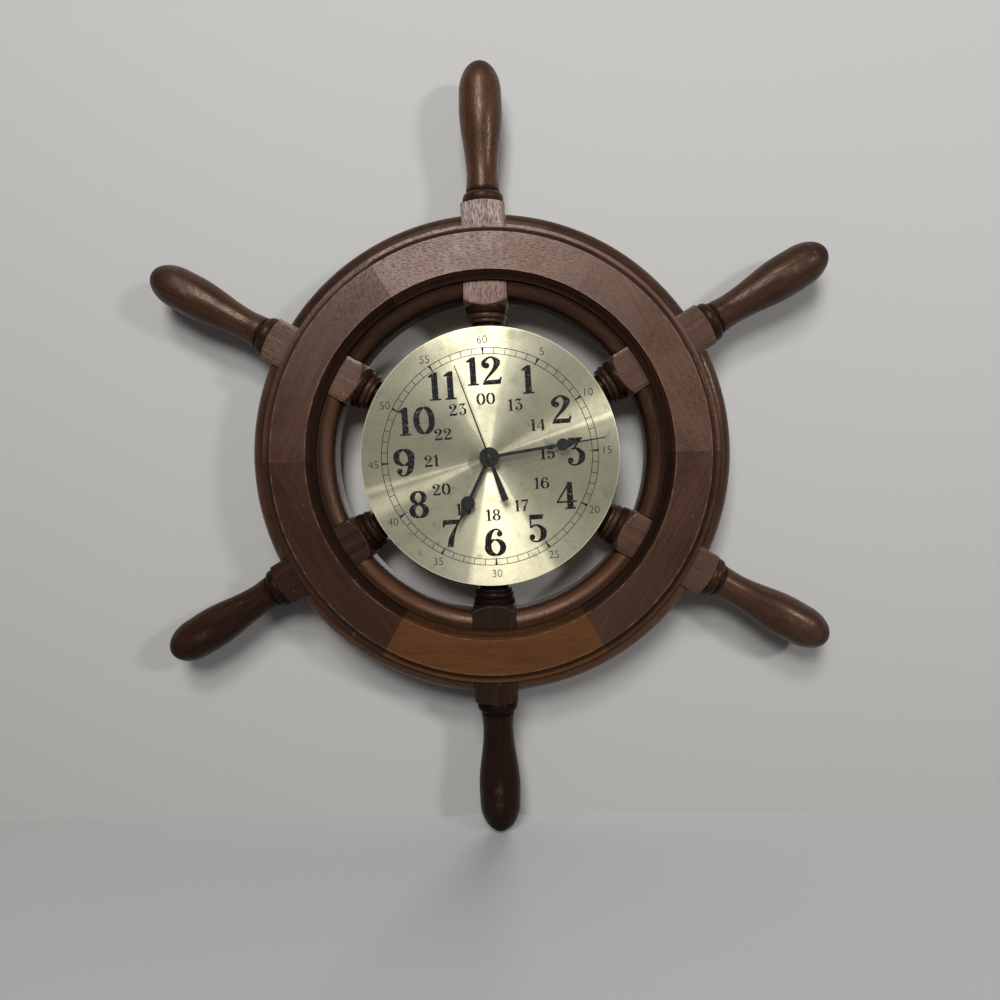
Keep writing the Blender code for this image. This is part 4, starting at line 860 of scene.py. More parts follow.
def inked(regions, near, far):
    """Closed thin solid over flat regions: both faces, and a wall on each edge that one triangle has."""
    offsets = np.cumsum([0] + [len(points) for points, _ in regions])
    flat = np.concatenate([points for points, _ in regions])
    triangles = np.concatenate([faces + start for (_, faces), start in zip(regions, offsets)])
    edges = triangles[:, [0, 1, 1, 2, 2, 0]].reshape(-1, 2)
    count = len(flat)
    forward = edges[:, 0] * count + edges[:, 1]
    backward = edges[:, 1] * count + edges[:, 0]
    rim = edges[~np.isin(forward, backward)]
    walls = np.stack([rim[:, 0], rim[:, 1], rim[:, 1] + count, rim[:, 0] + count], axis=-1)
    levels = [np.stack([flat[:, 0], np.full(count, -depth), flat[:, 1]], axis=-1) for depth in (near, far)]
    faces = triangles.tolist() + (triangles + count).tolist() + walls.tolist()
    return np.concatenate(levels), faces


def dial_place(reach, turn):
    """Place (x, z) on the dial at a distance from the axis and a clockwise angle."""
    return np.array([reach * math.sin(turn), reach * math.cos(turn)])


def numeral_regions(text, height, middle, weight, cache):
    """Regions of a number, set upright with its middle at a place on the dial."""
    spacing = 0.07
    glyphs = []
    for digit in text:
        if (digit, weight) not in cache:
            outlines, width = numeral_outlines(digit, weight)
            cache[digit, weight] = (*united(outlines), width)
        glyphs.append(cache[digit, weight])
    total = sum(glyph[2] for glyph in glyphs) + spacing * (len(glyphs) - 1)
    regions = []
    pen = -total / 2
    for points, triangles, width in glyphs:
        regions.append(((points + np.array([pen, -0.5])) * height + middle, triangles))
        pen += width + spacing
    return regions


def plain_number(text, height, middle):
    """Region of a number in Blender's own plain letterforms."""
    digit_height = 0.73
    thinned = 0.018
    curve = bpy.data.curves.new(text, "FONT")
    curve.body = text
    curve.size = height / digit_height
    curve.align_x = "CENTER"
    curve.offset = -thinned * height
    writing = bpy.data.objects.new(text, curve)
    mesh = writing.to_mesh()
    points = np.empty(len(mesh.vertices) * 3, np.float32)
    mesh.vertices.foreach_get("co", points)
    mesh.calc_loop_triangles()
    triangles = np.empty(len(mesh.loop_triangles) * 3, np.int32)
    mesh.loop_triangles.foreach_get("vertices", triangles)
    writing.to_mesh_clear()
    bpy.data.objects.remove(writing)
    bpy.data.curves.remove(curve)
    points = points.reshape(-1, 3)[:, :2].astype(float)
    points[:, 1] -= height / 2
    return points + middle, triangles.reshape(-1, 3)


def band(inner, outer, sides=240):
    """Flat ring between two radii."""
    points = np.concatenate([circle(inner, sides), circle(outer, sides)])
    index = np.arange(sides)
    after = np.roll(index, -1)
    first = np.stack([index, after, after + sides], axis=-1)
    second = np.stack([index, after + sides, index + sides], axis=-1)
    return points, np.concatenate([first, second])


def radial_mark(inner, outer, inner_half, outer_half, turn):
    """Flat mark along a radius, with its own half width at each end."""
    outline = np.array([(-inner_half, inner), (inner_half, inner), (outer_half, outer), (-outer_half, outer)])
    return turn_clockwise(outline, turn), np.array([(0, 1, 2), (0, 2, 3)])


def add_print(sizes, finish):
    """Hour numerals, twenty-four hour numerals, minute track and minute numbers."""
    near = DIAL_FRONT + PRINT_LIFT
    half_line = sizes.line / 2
    mark_start = sizes.track_inner - 0.9 * MM
    mark_point = 0.15 * MM
    mark_half = 0.75 * MM
    dot = 0.24 * MM
    dot_reach = mark_start - 0.7 * MM
    dot_faces = np.stack([np.zeros(10, int), np.arange(1, 11), np.arange(2, 12)], axis=-1)
    cache = {}
    hours = []
    days = []
    minutes = []
    track = [band(radius - half_line, radius + half_line)
             for radius in (sizes.track_inner, sizes.track_outer)]
    for hour in range(1, 13):
        turn = hour * math.pi / 6
        # A wide number at the side of the dial moves in by w |sin a|^3 to clear the track.
        moved = sizes.wide_inset * abs(math.sin(turn)) ** 3 if hour > 9 else 0.0
        hour_middle = dial_place(sizes.hour_reach - moved, turn)
        hours += numeral_regions(str(hour), sizes.hour_height, hour_middle, HOUR_WEIGHT, cache)
        day = f"{(hour + 12) % 24:02d}"
        day_middle = dial_place(sizes.day_reach - 1.5 * moved, turn)
        days += numeral_regions(day, sizes.day_height, day_middle, DAY_WEIGHT, cache)
        minute_middle = dial_place(sizes.minute_reach, turn)
        minutes.append(plain_number(str(hour * 5), sizes.minute_height, minute_middle))
        track.append(radial_mark(mark_start, sizes.track_outer, mark_point, mark_half, turn))
        track.append((circle(dot, 12, dial_place(dot_reach, turn)), dot_faces))
    for minute in range(60):
        if minute % 5:
            turn = minute * math.pi / 30
            track.append(radial_mark(sizes.track_inner, sizes.track_outer, half_line, half_line, turn))
    for name, regions in (("hour_numerals", hours), ("day_numerals", days), ("minute_numbers", minutes),
                          ("minute_track", track)):
        points, faces = inked(regions, near, near + sizes.ink)
        add_piece(name, turn_clockwise(points, sizes.turn), faces, "wheel", finish)


# Hands
def spade_outline(boss, stem, belly, belly_reach, reach, needle):
    """Spade hand along +z: boss, slim stem, round belly, and a hollow taper to a needle point.

    The belly is an arc. Beyond it the half width falls as n + (w - n)(1 - t)^2 to the needle's n.
    """
    belly_end = math.radians(112)
    taper_length = 2.9 * belly / 2
    point = 0.3 * needle
    start = math.asin(stem / boss)
    ring = np.linspace(start, 2 * math.pi - start, 60)
    boss_points = boss / 2 * np.stack([np.sin(ring), np.cos(ring)], axis=-1)
    radius = belly / 2
    arc = np.linspace(math.asin(stem / belly), belly_end, 30)
    taper = np.linspace(0.0, 1.0, 16)[1:]
    leave = belly_reach - radius * math.cos(belly_end)
    end = belly_reach + taper_length
    narrowing = needle / 2 + (radius * math.sin(belly_end) - needle / 2) * (1 - taper) ** 2
    half = np.concatenate([radius * np.sin(arc), narrowing, [point]])
    along = np.concatenate([belly_reach - radius * np.cos(arc), leave + (end - leave) * taper, [reach]])
    left = np.stack([-half, along], axis=-1)
    right = np.stack([half, along], axis=-1)[::-1]
    return np.concatenate([boss_points, left, right])


def add_hands(sizes, finish):
    """Black spade hands, and a needle with a square tail for the seconds."""
    for hand in ("hour", "minute"):
        name = f"{hand}_hand"
        parts = [getattr(sizes, f"{hand}_{part}") for part in ("boss", "stem", "belly", "belly_reach")]
        bore, reach = radii(name)
        near, far = depths(name)
        outline = spade_outline(*parts, reach, sizes.needle)
        points, faces = plate(outline, [circle(bore, 48)], near, far, sizes.bevel)
        points = turn_clockwise(points, far_angle(name))
        add_piece(f"spade_{name}", points, faces, f"{hand}_body", finish, (name,))
    add_second_hand(sizes, finish)


def add_second_hand(sizes, finish):
    """Needle on a round boss with a tail that widens to a square end, and a domed cap over the boss.

    The cap has two ripples: at share s of its radius it stands h (1 - s^6)(0.75 - 0.25 cos 3 pi s) proud.
    """
    near, far = depths("second_hand")
    minute_back, minute_front = depths("minute_hand")
    base = near + minute_front - minute_back
    boss = sizes.second_boss / 2
    needle = sizes.needle / 2
    tail = sizes.tail_width / 2
    tail_root = 0.45 * tail
    reach = radii("second_hand")[1]
    ring = np.linspace(math.asin(needle / boss), math.pi - math.asin(tail_root / boss), 24)
    right = boss * np.stack([np.sin(ring), np.cos(ring)], axis=-1)
    left = right[::-1] * np.array([-1.0, 1.0])
    outline = np.concatenate([right, [(tail, -sizes.tail), (-tail, -sizes.tail)], left,
                              [(-needle / 2, reach), (needle / 2, reach)]])
    points, faces = plate(outline, [], near, base, sizes.bevel)
    points = turn_clockwise(points, far_angle("second_hand"))
    add_piece("needle_second_hand", points, faces, "second_body", finish, ("second_hand",))
    rows = 30
    sides = 48
    cap = boss - 0.3 * MM
    out = np.linspace(1.0, 0.02, rows)[:, None]
    proud = (1 - out ** 6) * (0.75 - 0.25 * np.cos(3 * math.pi * out))
    dome = polar(cap * out, full_turn(sides)[None, :], base + (far - base) * proud)
    add_piece("second_hand_cap", dome, tube_faces(rows, sides), "second_body", finish)


# Movement
def add_battery(finish):
    """Round cell lying along x: radius as a function of the distance from its flat end."""
    sides = 64
    nub = 1.5 * MM
    low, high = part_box("battery")
    radius = (high.z - low.z) / 2
    middle = np.array([0.0, (low.y + high.y) / 2, (low.z + high.z) / 2])
    reach = high.x - low.x
    # Both ends of the jacket roll over in the same five steps.
    roll = np.array([0.0, 0.0, 0.4, 0.9, 1.4]) * MM
    rolled = np.array([0.55, 0.86, 0.93, 0.985, 1.0]) * radius
    body = np.linspace(2.0 * MM, reach - nub - 2.0 * MM, 12)
    tip = reach - np.array([nub, 0.3 * MM, 0.0, 0.0])
    tip_size = np.array([2.75, 2.75, 2.4, 1.2]) * MM
    along = np.concatenate([roll, body, reach - nub - roll[::-1], tip])[:, None]
    size = np.concatenate([rolled, np.full(len(body), radius), rolled[::-1], tip_size])[:, None]
    turn = full_turn(sides)[None, :]
    points = np.stack(np.broadcast_arrays(along + low.x, size * np.sin(turn), size * np.cos(turn)), axis=-1)
    points = points + middle
    points[..., 0] *= battery_side()
    faces = tube_faces(len(along), sides)
    add_piece("round_cell", points, faces, "wheel", finish, ("battery",))


def battery_side():
    """Which end of the bay the cell's small end faces: 1 for +x, -1 for -x."""
    points = node_points("battery")
    middle = (points[:, 2].min() + points[:, 2].max()) / 2
    ends = points[np.abs(points[:, 0]) > np.abs(points[:, 0]).max() - 0.1 * MM]
    spread_right, spread_left = (np.abs(ends[side * ends[:, 0] > 0][:, 2] - middle).max() for side in (1, -1))
    return 1.0 if spread_right < spread_left else -1.0


# Hanger
def add_screws(finish):
    """Round-headed screws: a dome h (1 - sqrt(1 - s^2)) with a crossed slot sunk along two lines."""
    sides = 96
    rise = 1.0 * MM
    brim = 1.2 * MM
    slot_half = 0.42 * MM
    slot_depth = 0.6 * MM
    slot_reach = 0.62
    shank = 1.5 * MM
    point = 0.4 * MM
    point_length = 0.6 * MM
    turn = full_turn(sides)[None, :]
    out = np.linspace(0.06, 1.0, 18)[:, None]
    for number in (1, 2):
        name = f"hanger_screw_{number}"
        low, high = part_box(name)
        middle = np.array([(low.x + high.x) / 2, 0.0, (low.z + high.z) / 2])
        radius = (high.x - low.x) / 2
        back, front = depths(name)
        slot_angle = turn + 0.5 * number
        line = np.minimum(np.abs(np.sin(slot_angle)), np.abs(np.cos(slot_angle))) * out * radius
        sunk = slot_depth * np.clip(1.0 - line / slot_half, 0.0, 1.0) ** 0.5 * (out < slot_reach)
        dome = back + rise * (1 - np.sqrt(np.clip(1 - (out * 0.94) ** 2, 0.0, None))) + sunk
        head = polar(radius * out, turn, dome)
        level = np.array([back + brim, back + brim, front - point_length, front])[:, None]
        stem = polar(np.array([radius, shank, shank, point])[:, None], turn, level)
        points = np.concatenate([head, stem]) + middle
        add_piece(f"slotted_{name}", points, tube_faces(len(points), sides), "wheel", finish,
                  (name,))


# Node trees
class Sheet:
    """Short calls that add nodes to one tree and join them."""

    def __init__(self, tree):
        self.tree = tree

    def node(self, kind, **settings):
        """New node with its settings."""
        made = self.tree.nodes.new(kind)
        for key, value in settings.items():
            setattr(made, key, value)
        return made

    def feed(self, socket, value):
        """Join a socket to another, or set its value."""
        if isinstance(value, bpy.types.NodeSocket):
            self.tree.links.new(value, socket)
        else:
            socket.default_value = value

    def sums(self, operation, *values, clamp=False):
        """Result of a sum on numbers."""
        made = self.node("ShaderNodeMath", operation=operation, use_clamp=clamp)
        for socket, value in zip(made.inputs, values):
            self.feed(socket, value)
        return made.outputs[0]

    def vector(self, operation, *values):
        """Result of a sum on vectors."""
        made = self.node("ShaderNodeVectorMath", operation=operation)
        sockets = (made.inputs[0], made.inputs["Scale"]) if operation == "SCALE" else made.inputs
        for socket, value in zip(sockets, values):
            self.feed(socket, value)
        return made.outputs["Value"] if operation in ("LENGTH", "DOT_PRODUCT") else made.outputs["Vector"]

    def noise(self, vector, scale, detail=2.0, rough=0.5):
        """Noise from 0 to 1."""
        made = self.node("ShaderNodeTexNoise")
        self.feed(made.inputs["Vector"], vector)
        for label, value in (("Scale", scale), ("Detail", detail), ("Roughness", rough)):
            made.inputs[label].default_value = value
        return made.outputs["Fac"]

    def span(self, value, low, high, to_low=0.0, to_high=1.0, smooth=True):
        """Value moved from one range to another and kept inside it."""
        made = self.node("ShaderNodeMapRange", interpolation_type="SMOOTHSTEP" if smooth else "LINEAR")
        for socket, entry in zip(made.inputs, (value, low, high, to_low, to_high)):
            self.feed(socket, entry)
        return made.outputs[0]

    def mix(self, portion, first, second, blend="MIX"):
        """Colour between two, by a portion."""
        made = self.node("ShaderNodeMix", data_type="RGBA", blend_type=blend)
        for index, value in ((0, portion), (6, first), (7, second)):
            self.feed(made.inputs[index], value)
        return made.outputs[2]

    def position(self):
        """Place of each point in its object's own frame."""
        return self.node("ShaderNodeTexCoord").outputs["Object"]

    def attribute(self, label, output):
        """Output of an attribute of the surface."""
        return self.node("ShaderNodeAttribute", attribute_name=label).outputs[output]

    def place(self, group, **values):
        """Put a node group into the tree with its inputs set."""
        made = self.node("ShaderNodeGroup", node_tree=group)
        for label, value in values.items():
            self.feed(made.inputs[label.replace("_", " ")], value)
        return made

    def bump(self, height, strength, distance):
        """Normal of a surface raised by a height."""
        made = self.node("ShaderNodeBump")
        made.inputs["Strength"].default_value = strength
        made.inputs["Distance"].default_value = distance
        self.feed(made.inputs["Height"], height)
        return made.outputs["Normal"]


# Dark of the open pores, and of the painted shade in hollows and creases.
PORE_AND_SHADE_DARK = (0.006, 0.004, 0.003)       # wax and dust that gather in hollows
AMBER = (1.0, 0.77, 0.60)           # tint of what thick aged lacquer reflects
PALE_AMBER = (1.0, 0.86, 0.77)      # the same where it is thin
DUSTY = (1.0, 0.93, 0.90)           # the same under dust
# Bare flats turn lighter and greyer by this: timber whose stain has gone, and a painted sheen.
BARE_AND_SHEEN_LIFT = (2.5, 2.65, 2.85)       # how much lighter timber is where its stain has gone
TARNISH = (0.20, 0.19, 0.13)        # clouds on the dial
SOIL = (0.11, 0.10, 0.06)           # stains and specks on the dial
RUBBED = (0.40, 0.38, 0.29)         # dial that shows through rubbed ink

SOCKETS = {"vector": "NodeSocketVector", "value": "NodeSocketFloat", "colour": "NodeSocketColor"}


def new_group(name, inputs, outputs):
    """Shader node group with named sockets, given as {label: kind}."""
    tree = bpy.data.node_groups.new(name, "ShaderNodeTree")
    for label, kind in inputs.items():
        tree.interface.new_socket(label, in_out="INPUT", socket_type=SOCKETS[kind])
    for label, kind in outputs.items():
        tree.interface.new_socket(label, in_out="OUTPUT", socket_type=SOCKETS[kind])
    sheet = Sheet(tree)
    return sheet, sheet.node("NodeGroupInput").outputs, sheet.node("NodeGroupOutput").inputs


def timber_group():
    """Grain of one board: broad bands, fine fibres and short dark pores, all drawn out along it."""
    sheet, given, made = new_group("timber grain", {"Board": "vector", "Tone": "value", "Open": "value",
                                                    "Light": "colour", "Dark": "colour"},
                                   {"Colour": "colour", "Pores": "value", "Height": "value"})
    board = given["Board"]
    bands = sheet.noise(sheet.vector("MULTIPLY", board, (70.0, 70.0, 5.0)), 1.0, 3.0, 0.55)
    fibres = sheet.noise(sheet.vector("MULTIPLY", board, (520.0, 520.0, 26.0)), 1.0, 3.0, 0.6)
    figure = sheet.noise(sheet.vector("MULTIPLY", board, (28.0, 28.0, 22.0)), 1.0, 2.0, 0.5)
    dashes = sheet.noise(sheet.vector("MULTIPLY", board, (2100.0, 2100.0, 330.0)), 1.0, 1.0, 0.5)
    pores = sheet.span(dashes, 0.50, 0.66)
    mixed = sheet.sums("MULTIPLY_ADD", bands, 0.55, sheet.sums("MULTIPLY_ADD", fibres, 0.80, -0.15))
    mixed = sheet.sums("MULTIPLY_ADD", figure, 0.35, mixed)
    mixed = sheet.sums("MULTIPLY_ADD", given["Tone"], 0.09, mixed)
    lightness = sheet.span(mixed, 0.45, 0.98, smooth=False)
    stained = sheet.mix(lightness, given["Dark"], given["Light"])
    # Tones below zero darken the timber further, which paints shade on the lowest boards.
    stained = sheet.vector("SCALE", stained, sheet.span(given["Tone"], -3.0, 0.0, 0.45, 1.0, smooth=False))
    sheet.feed(made["Colour"], sheet.mix(sheet.sums("MULTIPLY", pores, given["Open"]), stained, rgba(PORE_AND_SHADE_DARK)))
    sheet.feed(made["Pores"], pores)
    sheet.feed(made["Height"], sheet.sums("SUBTRACT", sheet.sums("MULTIPLY", fibres, 0.35), pores))
    return sheet.tree


def worn_group():
    """Worn edges: the marked edges, broken up by noise, and small knocks elsewhere."""
    sheet, given, made = new_group("worn edges", {"Place": "vector", "Edge": "value"}, {"Mask": "value"})
    patchy = sheet.span(sheet.noise(given["Place"], 160.0, 3.0, 0.6), 0.40, 0.62)
    edge = sheet.sums("MULTIPLY", given["Edge"], sheet.sums("MULTIPLY_ADD", patchy, 0.8, 0.2))
    knock = sheet.span(sheet.noise(given["Place"], 310.0, 1.0, 0.4), 0.755, 0.80)
    sheet.feed(made["Mask"], sheet.sums("MAXIMUM", edge, sheet.sums("MULTIPLY", knock, 0.5), clamp=True))
    return sheet.tree


def speck_group():
    """Fine uneven surface of mouldings, metal and enamel: a soft mottle."""
    sheet, given, made = new_group("fine mottle", {"Place": "vector"}, {"Mottle": "value"})
    sheet.feed(made["Mottle"], sheet.noise(given["Place"], 420.0, 3.0, 0.6))
    return sheet.tree


def rgba(value):
    """Opaque colour."""
    return (*value, 1.0)


def new_material(name):
    """Material with its node sheet and its Principled shader's inputs."""
    made = bpy.data.materials.new(name)
    made.use_nodes = True
    shader = made.node_tree.nodes["Principled BSDF"]
    return made, Sheet(made.node_tree), shader.inputs


def timber(name, groups, light, dark, worn, gloss, pores, relief, sheen, tint):
    """Stained and lacquered timber: grain, worn edges, bare flats with a painted sheen, and painted shade in
    hollows.
    """
    bare_share = 0.55
    open_share = 0.35
    worn_share = 0.7
    shade_share = 0.8
    hollow_sheen = 0.06
    made, sheet, shader = new_material(name)
    board = sheet.attribute("grain", "Vector")
    place = sheet.position()
    tone = sheet.attribute("tone", "Fac")
    grain = sheet.place(groups["timber"], Board=board, Tone=tone, Open=pores,
                        Light=rgba(light), Dark=rgba(dark)).outputs
    edges = sheet.place(groups["worn"], Place=place, Edge=sheet.attribute("wear", "Fac")).outputs
    bare = sheet.attribute("bare", "Fac")
    # Flats lighter and greyer: stain worn away, and a painted sheen on the upper blocks.
    lifted = sheet.mix(1.0, grain["Colour"], rgba(BARE_AND_SHEEN_LIFT), "MULTIPLY")
    sawn_and_sheen = sheet.mix(sheet.sums("MULTIPLY", bare, bare_share), grain["Colour"], lifted)
    open_pores = sheet.sums("MULTIPLY", sheet.sums("MULTIPLY", bare, grain["Pores"]), open_share)
    sawn_and_sheen = sheet.mix(open_pores, sawn_and_sheen, rgba(PORE_AND_SHADE_DARK))
    stained = sheet.mix(sheet.sums("MULTIPLY", edges["Mask"], worn_share), sawn_and_sheen, rgba(worn))
    # Painted shade darkens the hollows.
    grime = sheet.attribute("grime", "Fac")
    darkened = sheet.mix(sheet.sums("MULTIPLY", grime, shade_share), stained, rgba(PORE_AND_SHADE_DARK))
    sheet.feed(shader["Base Color"], darkened)
    # Lacquer reflects less where painted shade lies in the hollows, and on the boards darkened as painted
    # shade.
    shader["Specular IOR Level"].default_value = sheen
    dulled = sheet.span(tone, -2.0, 0.0, 0.35, 1.0, smooth=False)
    in_hollows = sheet.span(grime, 0.0, 1.0, sheen, hollow_sheen)
    sheet.feed(shader["Specular IOR Level"], sheet.sums("MULTIPLY", in_hollows, dulled))
    shader["Specular Tint"].default_value = rgba(tint)
    smudge = sheet.noise(place, 45.0, 3.0, 0.6)
    rough = sheet.span(smudge, 0.3, 0.7, gloss - 0.05, gloss + 0.07)
    sheet.feed(shader["Roughness"], sheet.sums("MULTIPLY_ADD", grain["Pores"], 0.2, rough))
    sheet.feed(shader["Normal"], sheet.bump(grain["Height"], relief, 0.10 * MM))
    return made


# Bright wedges of the dial, a painted reflection: middle, half width and softness in degrees, and strength
PAINTED_RAYS = ((-7.0, 20.0, 2.5, 0.50), (173.0, 20.0, 2.5, 1.00), (68.0, 6.0, 5.0, 0.55),
        (74.0, 1.4, 1.2, 1.0), (258.0, 1.6, 1.4, 0.8), (249.5, 4.5, 3.0, 0.68))


def brushed_dial(name, dull, bright, turn):
    """Sunburst brass: fine rays from the middle, broad bright wedges of painted reflection, a painted
    highlight along the rim, and a cloudy tarnish.
    """
    made, sheet, shader = new_material(name)
    place = sheet.position()
    flat = sheet.vector("MULTIPLY", place, (1.0, 0.0, 1.0))
    ray = sheet.vector("NORMALIZE", flat)
    fine = sheet.noise(ray, 95.0, 4.0, 0.7)
    broad = sheet.noise(ray, 9.0, 3.0, 0.6)
    split = sheet.node("ShaderNodeSeparateXYZ")
    sheet.feed(split.inputs[0], ray)
    facing = sheet.sums("ARCTAN2", split.outputs["X"], split.outputs["Z"])
    painted_reflection = None
    for middle, half, soft, strength in PAINTED_RAYS:
        away = sheet.sums("SUBTRACT", facing, math.radians(middle) + turn)
        away = sheet.sums("ABSOLUTE", sheet.sums("WRAP", away, math.pi, -math.pi))
        wedge = sheet.span(away, math.radians(half + soft), math.radians(half - soft), 0.0, strength)
        painted_reflection = wedge if painted_reflection is None else sheet.sums("MAXIMUM", painted_reflection, wedge)
    cloud = sheet.noise(place, 60.0, 5.0, 0.65)
    stain = sheet.span(sheet.noise(place, 130.0, 5.0, 0.7), 0.56, 0.72)
    tone = sheet.sums("MULTIPLY_ADD", sheet.sums("SUBTRACT", fine, 0.5), 0.35, painted_reflection)
    tone = sheet.sums("MULTIPLY_ADD", sheet.sums("SUBTRACT", broad, 0.5), 0.25, tone, clamp=True)
    speckle = sheet.noise(place, 900.0, 3.0, 0.7)
    tone = sheet.sums("MULTIPLY_ADD", sheet.sums("SUBTRACT", speckle, 0.5), 0.7, tone, clamp=True)
    # A painted highlight: the dial's outer rim is painted bright.
    edge = sheet.span(sheet.vector("LENGTH", flat), DIAL_RADIUS - 0.55 * MM, DIAL_RADIUS - 0.35 * MM)
    lit = sheet.mix(sheet.sums("MAXIMUM", tone, edge), rgba(dull), rgba(bright))
    aged = sheet.mix(sheet.span(cloud, 0.35, 0.75, 0.0, 0.35), lit, rgba(TARNISH))
    dust = sheet.span(sheet.noise(place, 1500.0, 2.0, 0.6), 0.54, 0.70, 0.0, 0.30)
    soiled = sheet.sums("MAXIMUM", sheet.sums("MULTIPLY", stain, 0.40), dust)
    sheet.feed(shader["Base Color"], sheet.mix(soiled, aged, rgba(SOIL)))
    shader["Metallic"].default_value = 0.7
    sheet.feed(shader["Roughness"], sheet.span(cloud, 0.3, 0.75, 0.46, 0.56))
    shader["Anisotropic"].default_value = 0.85
    shader["Anisotropic Rotation"].default_value = 0.25
    tangent = sheet.node("ShaderNodeTangent", direction_type="RADIAL", axis="Y")
    sheet.feed(shader["Tangent"], tangent.outputs[0])
    sheet.feed(shader["Normal"], sheet.bump(fine, 0.08, 0.05 * MM))
    return made


def black_finish(name, groups, base, rough, gloss=0.5, worn=None):
    """Black enamel, ink or moulding with a fine mottle, and worn specks where asked."""
    made, sheet, shader = new_material(name)
    shader["Specular IOR Level"].default_value = gloss
    place = sheet.position()
    mottle = sheet.place(groups["speck"], Place=place).outputs["Mottle"]
    lifted = tuple(min(1.0, value * 2.2) for value in base)
    plain = sheet.mix(mottle, rgba(base), rgba(lifted))
    if worn is not None:
        rubbed = sheet.span(sheet.noise(place, 1300.0, 3.0, 0.65), 0.60, 0.68, 0.0, 0.75)
        plain = sheet.mix(rubbed, plain, rgba(worn))
    sheet.feed(shader["Base Color"], plain)
    sheet.feed(shader["Roughness"], sheet.span(mottle, 0.3, 0.7, rough - 0.08, rough + 0.1))
    sheet.feed(shader["Normal"], sheet.bump(mottle, 0.12, 0.06 * MM))
    return made


def metal_finish(name, groups, base, tarnish, rough):
    """Plain metal with a cloudy tarnish and a fine mottle in its gloss."""
    made, sheet, shader = new_material(name)
    place = sheet.position()
    mottle = sheet.place(groups["speck"], Place=place).outputs["Mottle"]
    cloud = sheet.span(sheet.noise(place, 90.0, 4.0, 0.6), 0.40, 0.70)
    sheet.feed(shader["Base Color"], sheet.mix(sheet.sums("MULTIPLY", cloud, 0.5), rgba(base), rgba(tarnish)))
    shader["Metallic"].default_value = 1.0
    sheet.feed(shader["Roughness"], sheet.span(mottle, 0.3, 0.7, rough - 0.08, rough + 0.12))
    return made


def plastic_finish(name, groups, base, rough):
    """Moulded plastic with a faint mottle in colour and gloss."""
    made, sheet, shader = new_material(name)
    place = sheet.position()
    mottle = sheet.place(groups["speck"], Place=place).outputs["Mottle"]
    shade = tuple(value * 0.82 for value in base)
    sheet.feed(shader["Base Color"], sheet.mix(mottle, rgba(shade), rgba(base)))
    sheet.feed(shader["Roughness"], sheet.span(mottle, 0.3, 0.7, rough - 0.06, rough + 0.08))
    sheet.feed(shader["Normal"], sheet.bump(mottle, 0.10, 0.04 * MM))
    return made


def cell_finish(name, groups):
    """Battery jacket: dark with a pale band near its small end, and bare metal at both ends."""
    made, sheet, shader = new_material(name)
    place = sheet.position()
    split = sheet.node("ShaderNodeSeparateXYZ")
    sheet.feed(split.inputs[0], place)
    along = sheet.sums("MULTIPLY", split.outputs["X"], battery_side())
    banded = sheet.span(along, 12.0 * MM, 12.3 * MM)
    mottle = sheet.place(groups["speck"], Place=place).outputs["Mottle"]
    jacket = sheet.mix(banded, (0.035, 0.036, 0.040, 1.0), (0.45, 0.30, 0.15, 1.0))
    low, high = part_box("battery")
    bare = sheet.sums("MAXIMUM", sheet.span(along, high.x - 2.1 * MM, high.x - 1.9 * MM),
                      sheet.span(along, low.x + 0.7 * MM, low.x + 0.5 * MM))
    sheet.feed(shader["Base Color"], sheet.mix(bare, jacket, (0.60, 0.60, 0.60, 1.0)))
    sheet.feed(shader["Metallic"], bare)
    sheet.feed(shader["Roughness"], sheet.span(mottle, 0.3, 0.7, 0.24, 0.40))
    return made


# Timber finishes: material, stain, roughness, strength of the pores, relief, sheen and its tint
TIMBERS = {
    "turned": ("turned timber", "timber", 0.28, 0.60, 0.30, 0.37, AMBER),
    "block": ("block timber", "timber", 0.34, 0.40, 0.30, 0.60, PALE_AMBER),
    "dusty": ("dusty block timber", "timber", 0.34, 0.40, 0.30, 0.65, DUSTY),
    "felloe": ("felloe timber", "timber", 0.32, 0.40, 0.20, 0.38, AMBER),
    "facing": ("facing timber", "facing", 0.35, 0.32, 0.30, 0.75, PALE_AMBER),
    "warm": ("warm facing timber", "warm", 0.40, 0.30, 0.30, 0.50, AMBER),
}
# Metal finishes: material, colour, tarnish and roughness
METALS = {
    "brass": ("plain brass", (0.70, 0.52, 0.24), (0.30, 0.20, 0.09), 0.32),
    "steel": ("plated steel", (0.62, 0.62, 0.62), (0.40, 0.39, 0.37), 0.30),
    "copper": ("copper winding", (0.66, 0.28, 0.13), (0.38, 0.14, 0.06), 0.35),
}
# Moulded finishes: material, colour and roughness
PLASTICS = {
    "nylon": ("white nylon", (0.74, 0.73, 0.69), 0.45),
    "magnet": ("bonded magnet", (0.040, 0.040, 0.045), 0.55),
    "board": ("circuit board", (0.040, 0.160, 0.070), 0.45),
}
FINISH_CACHE = {}


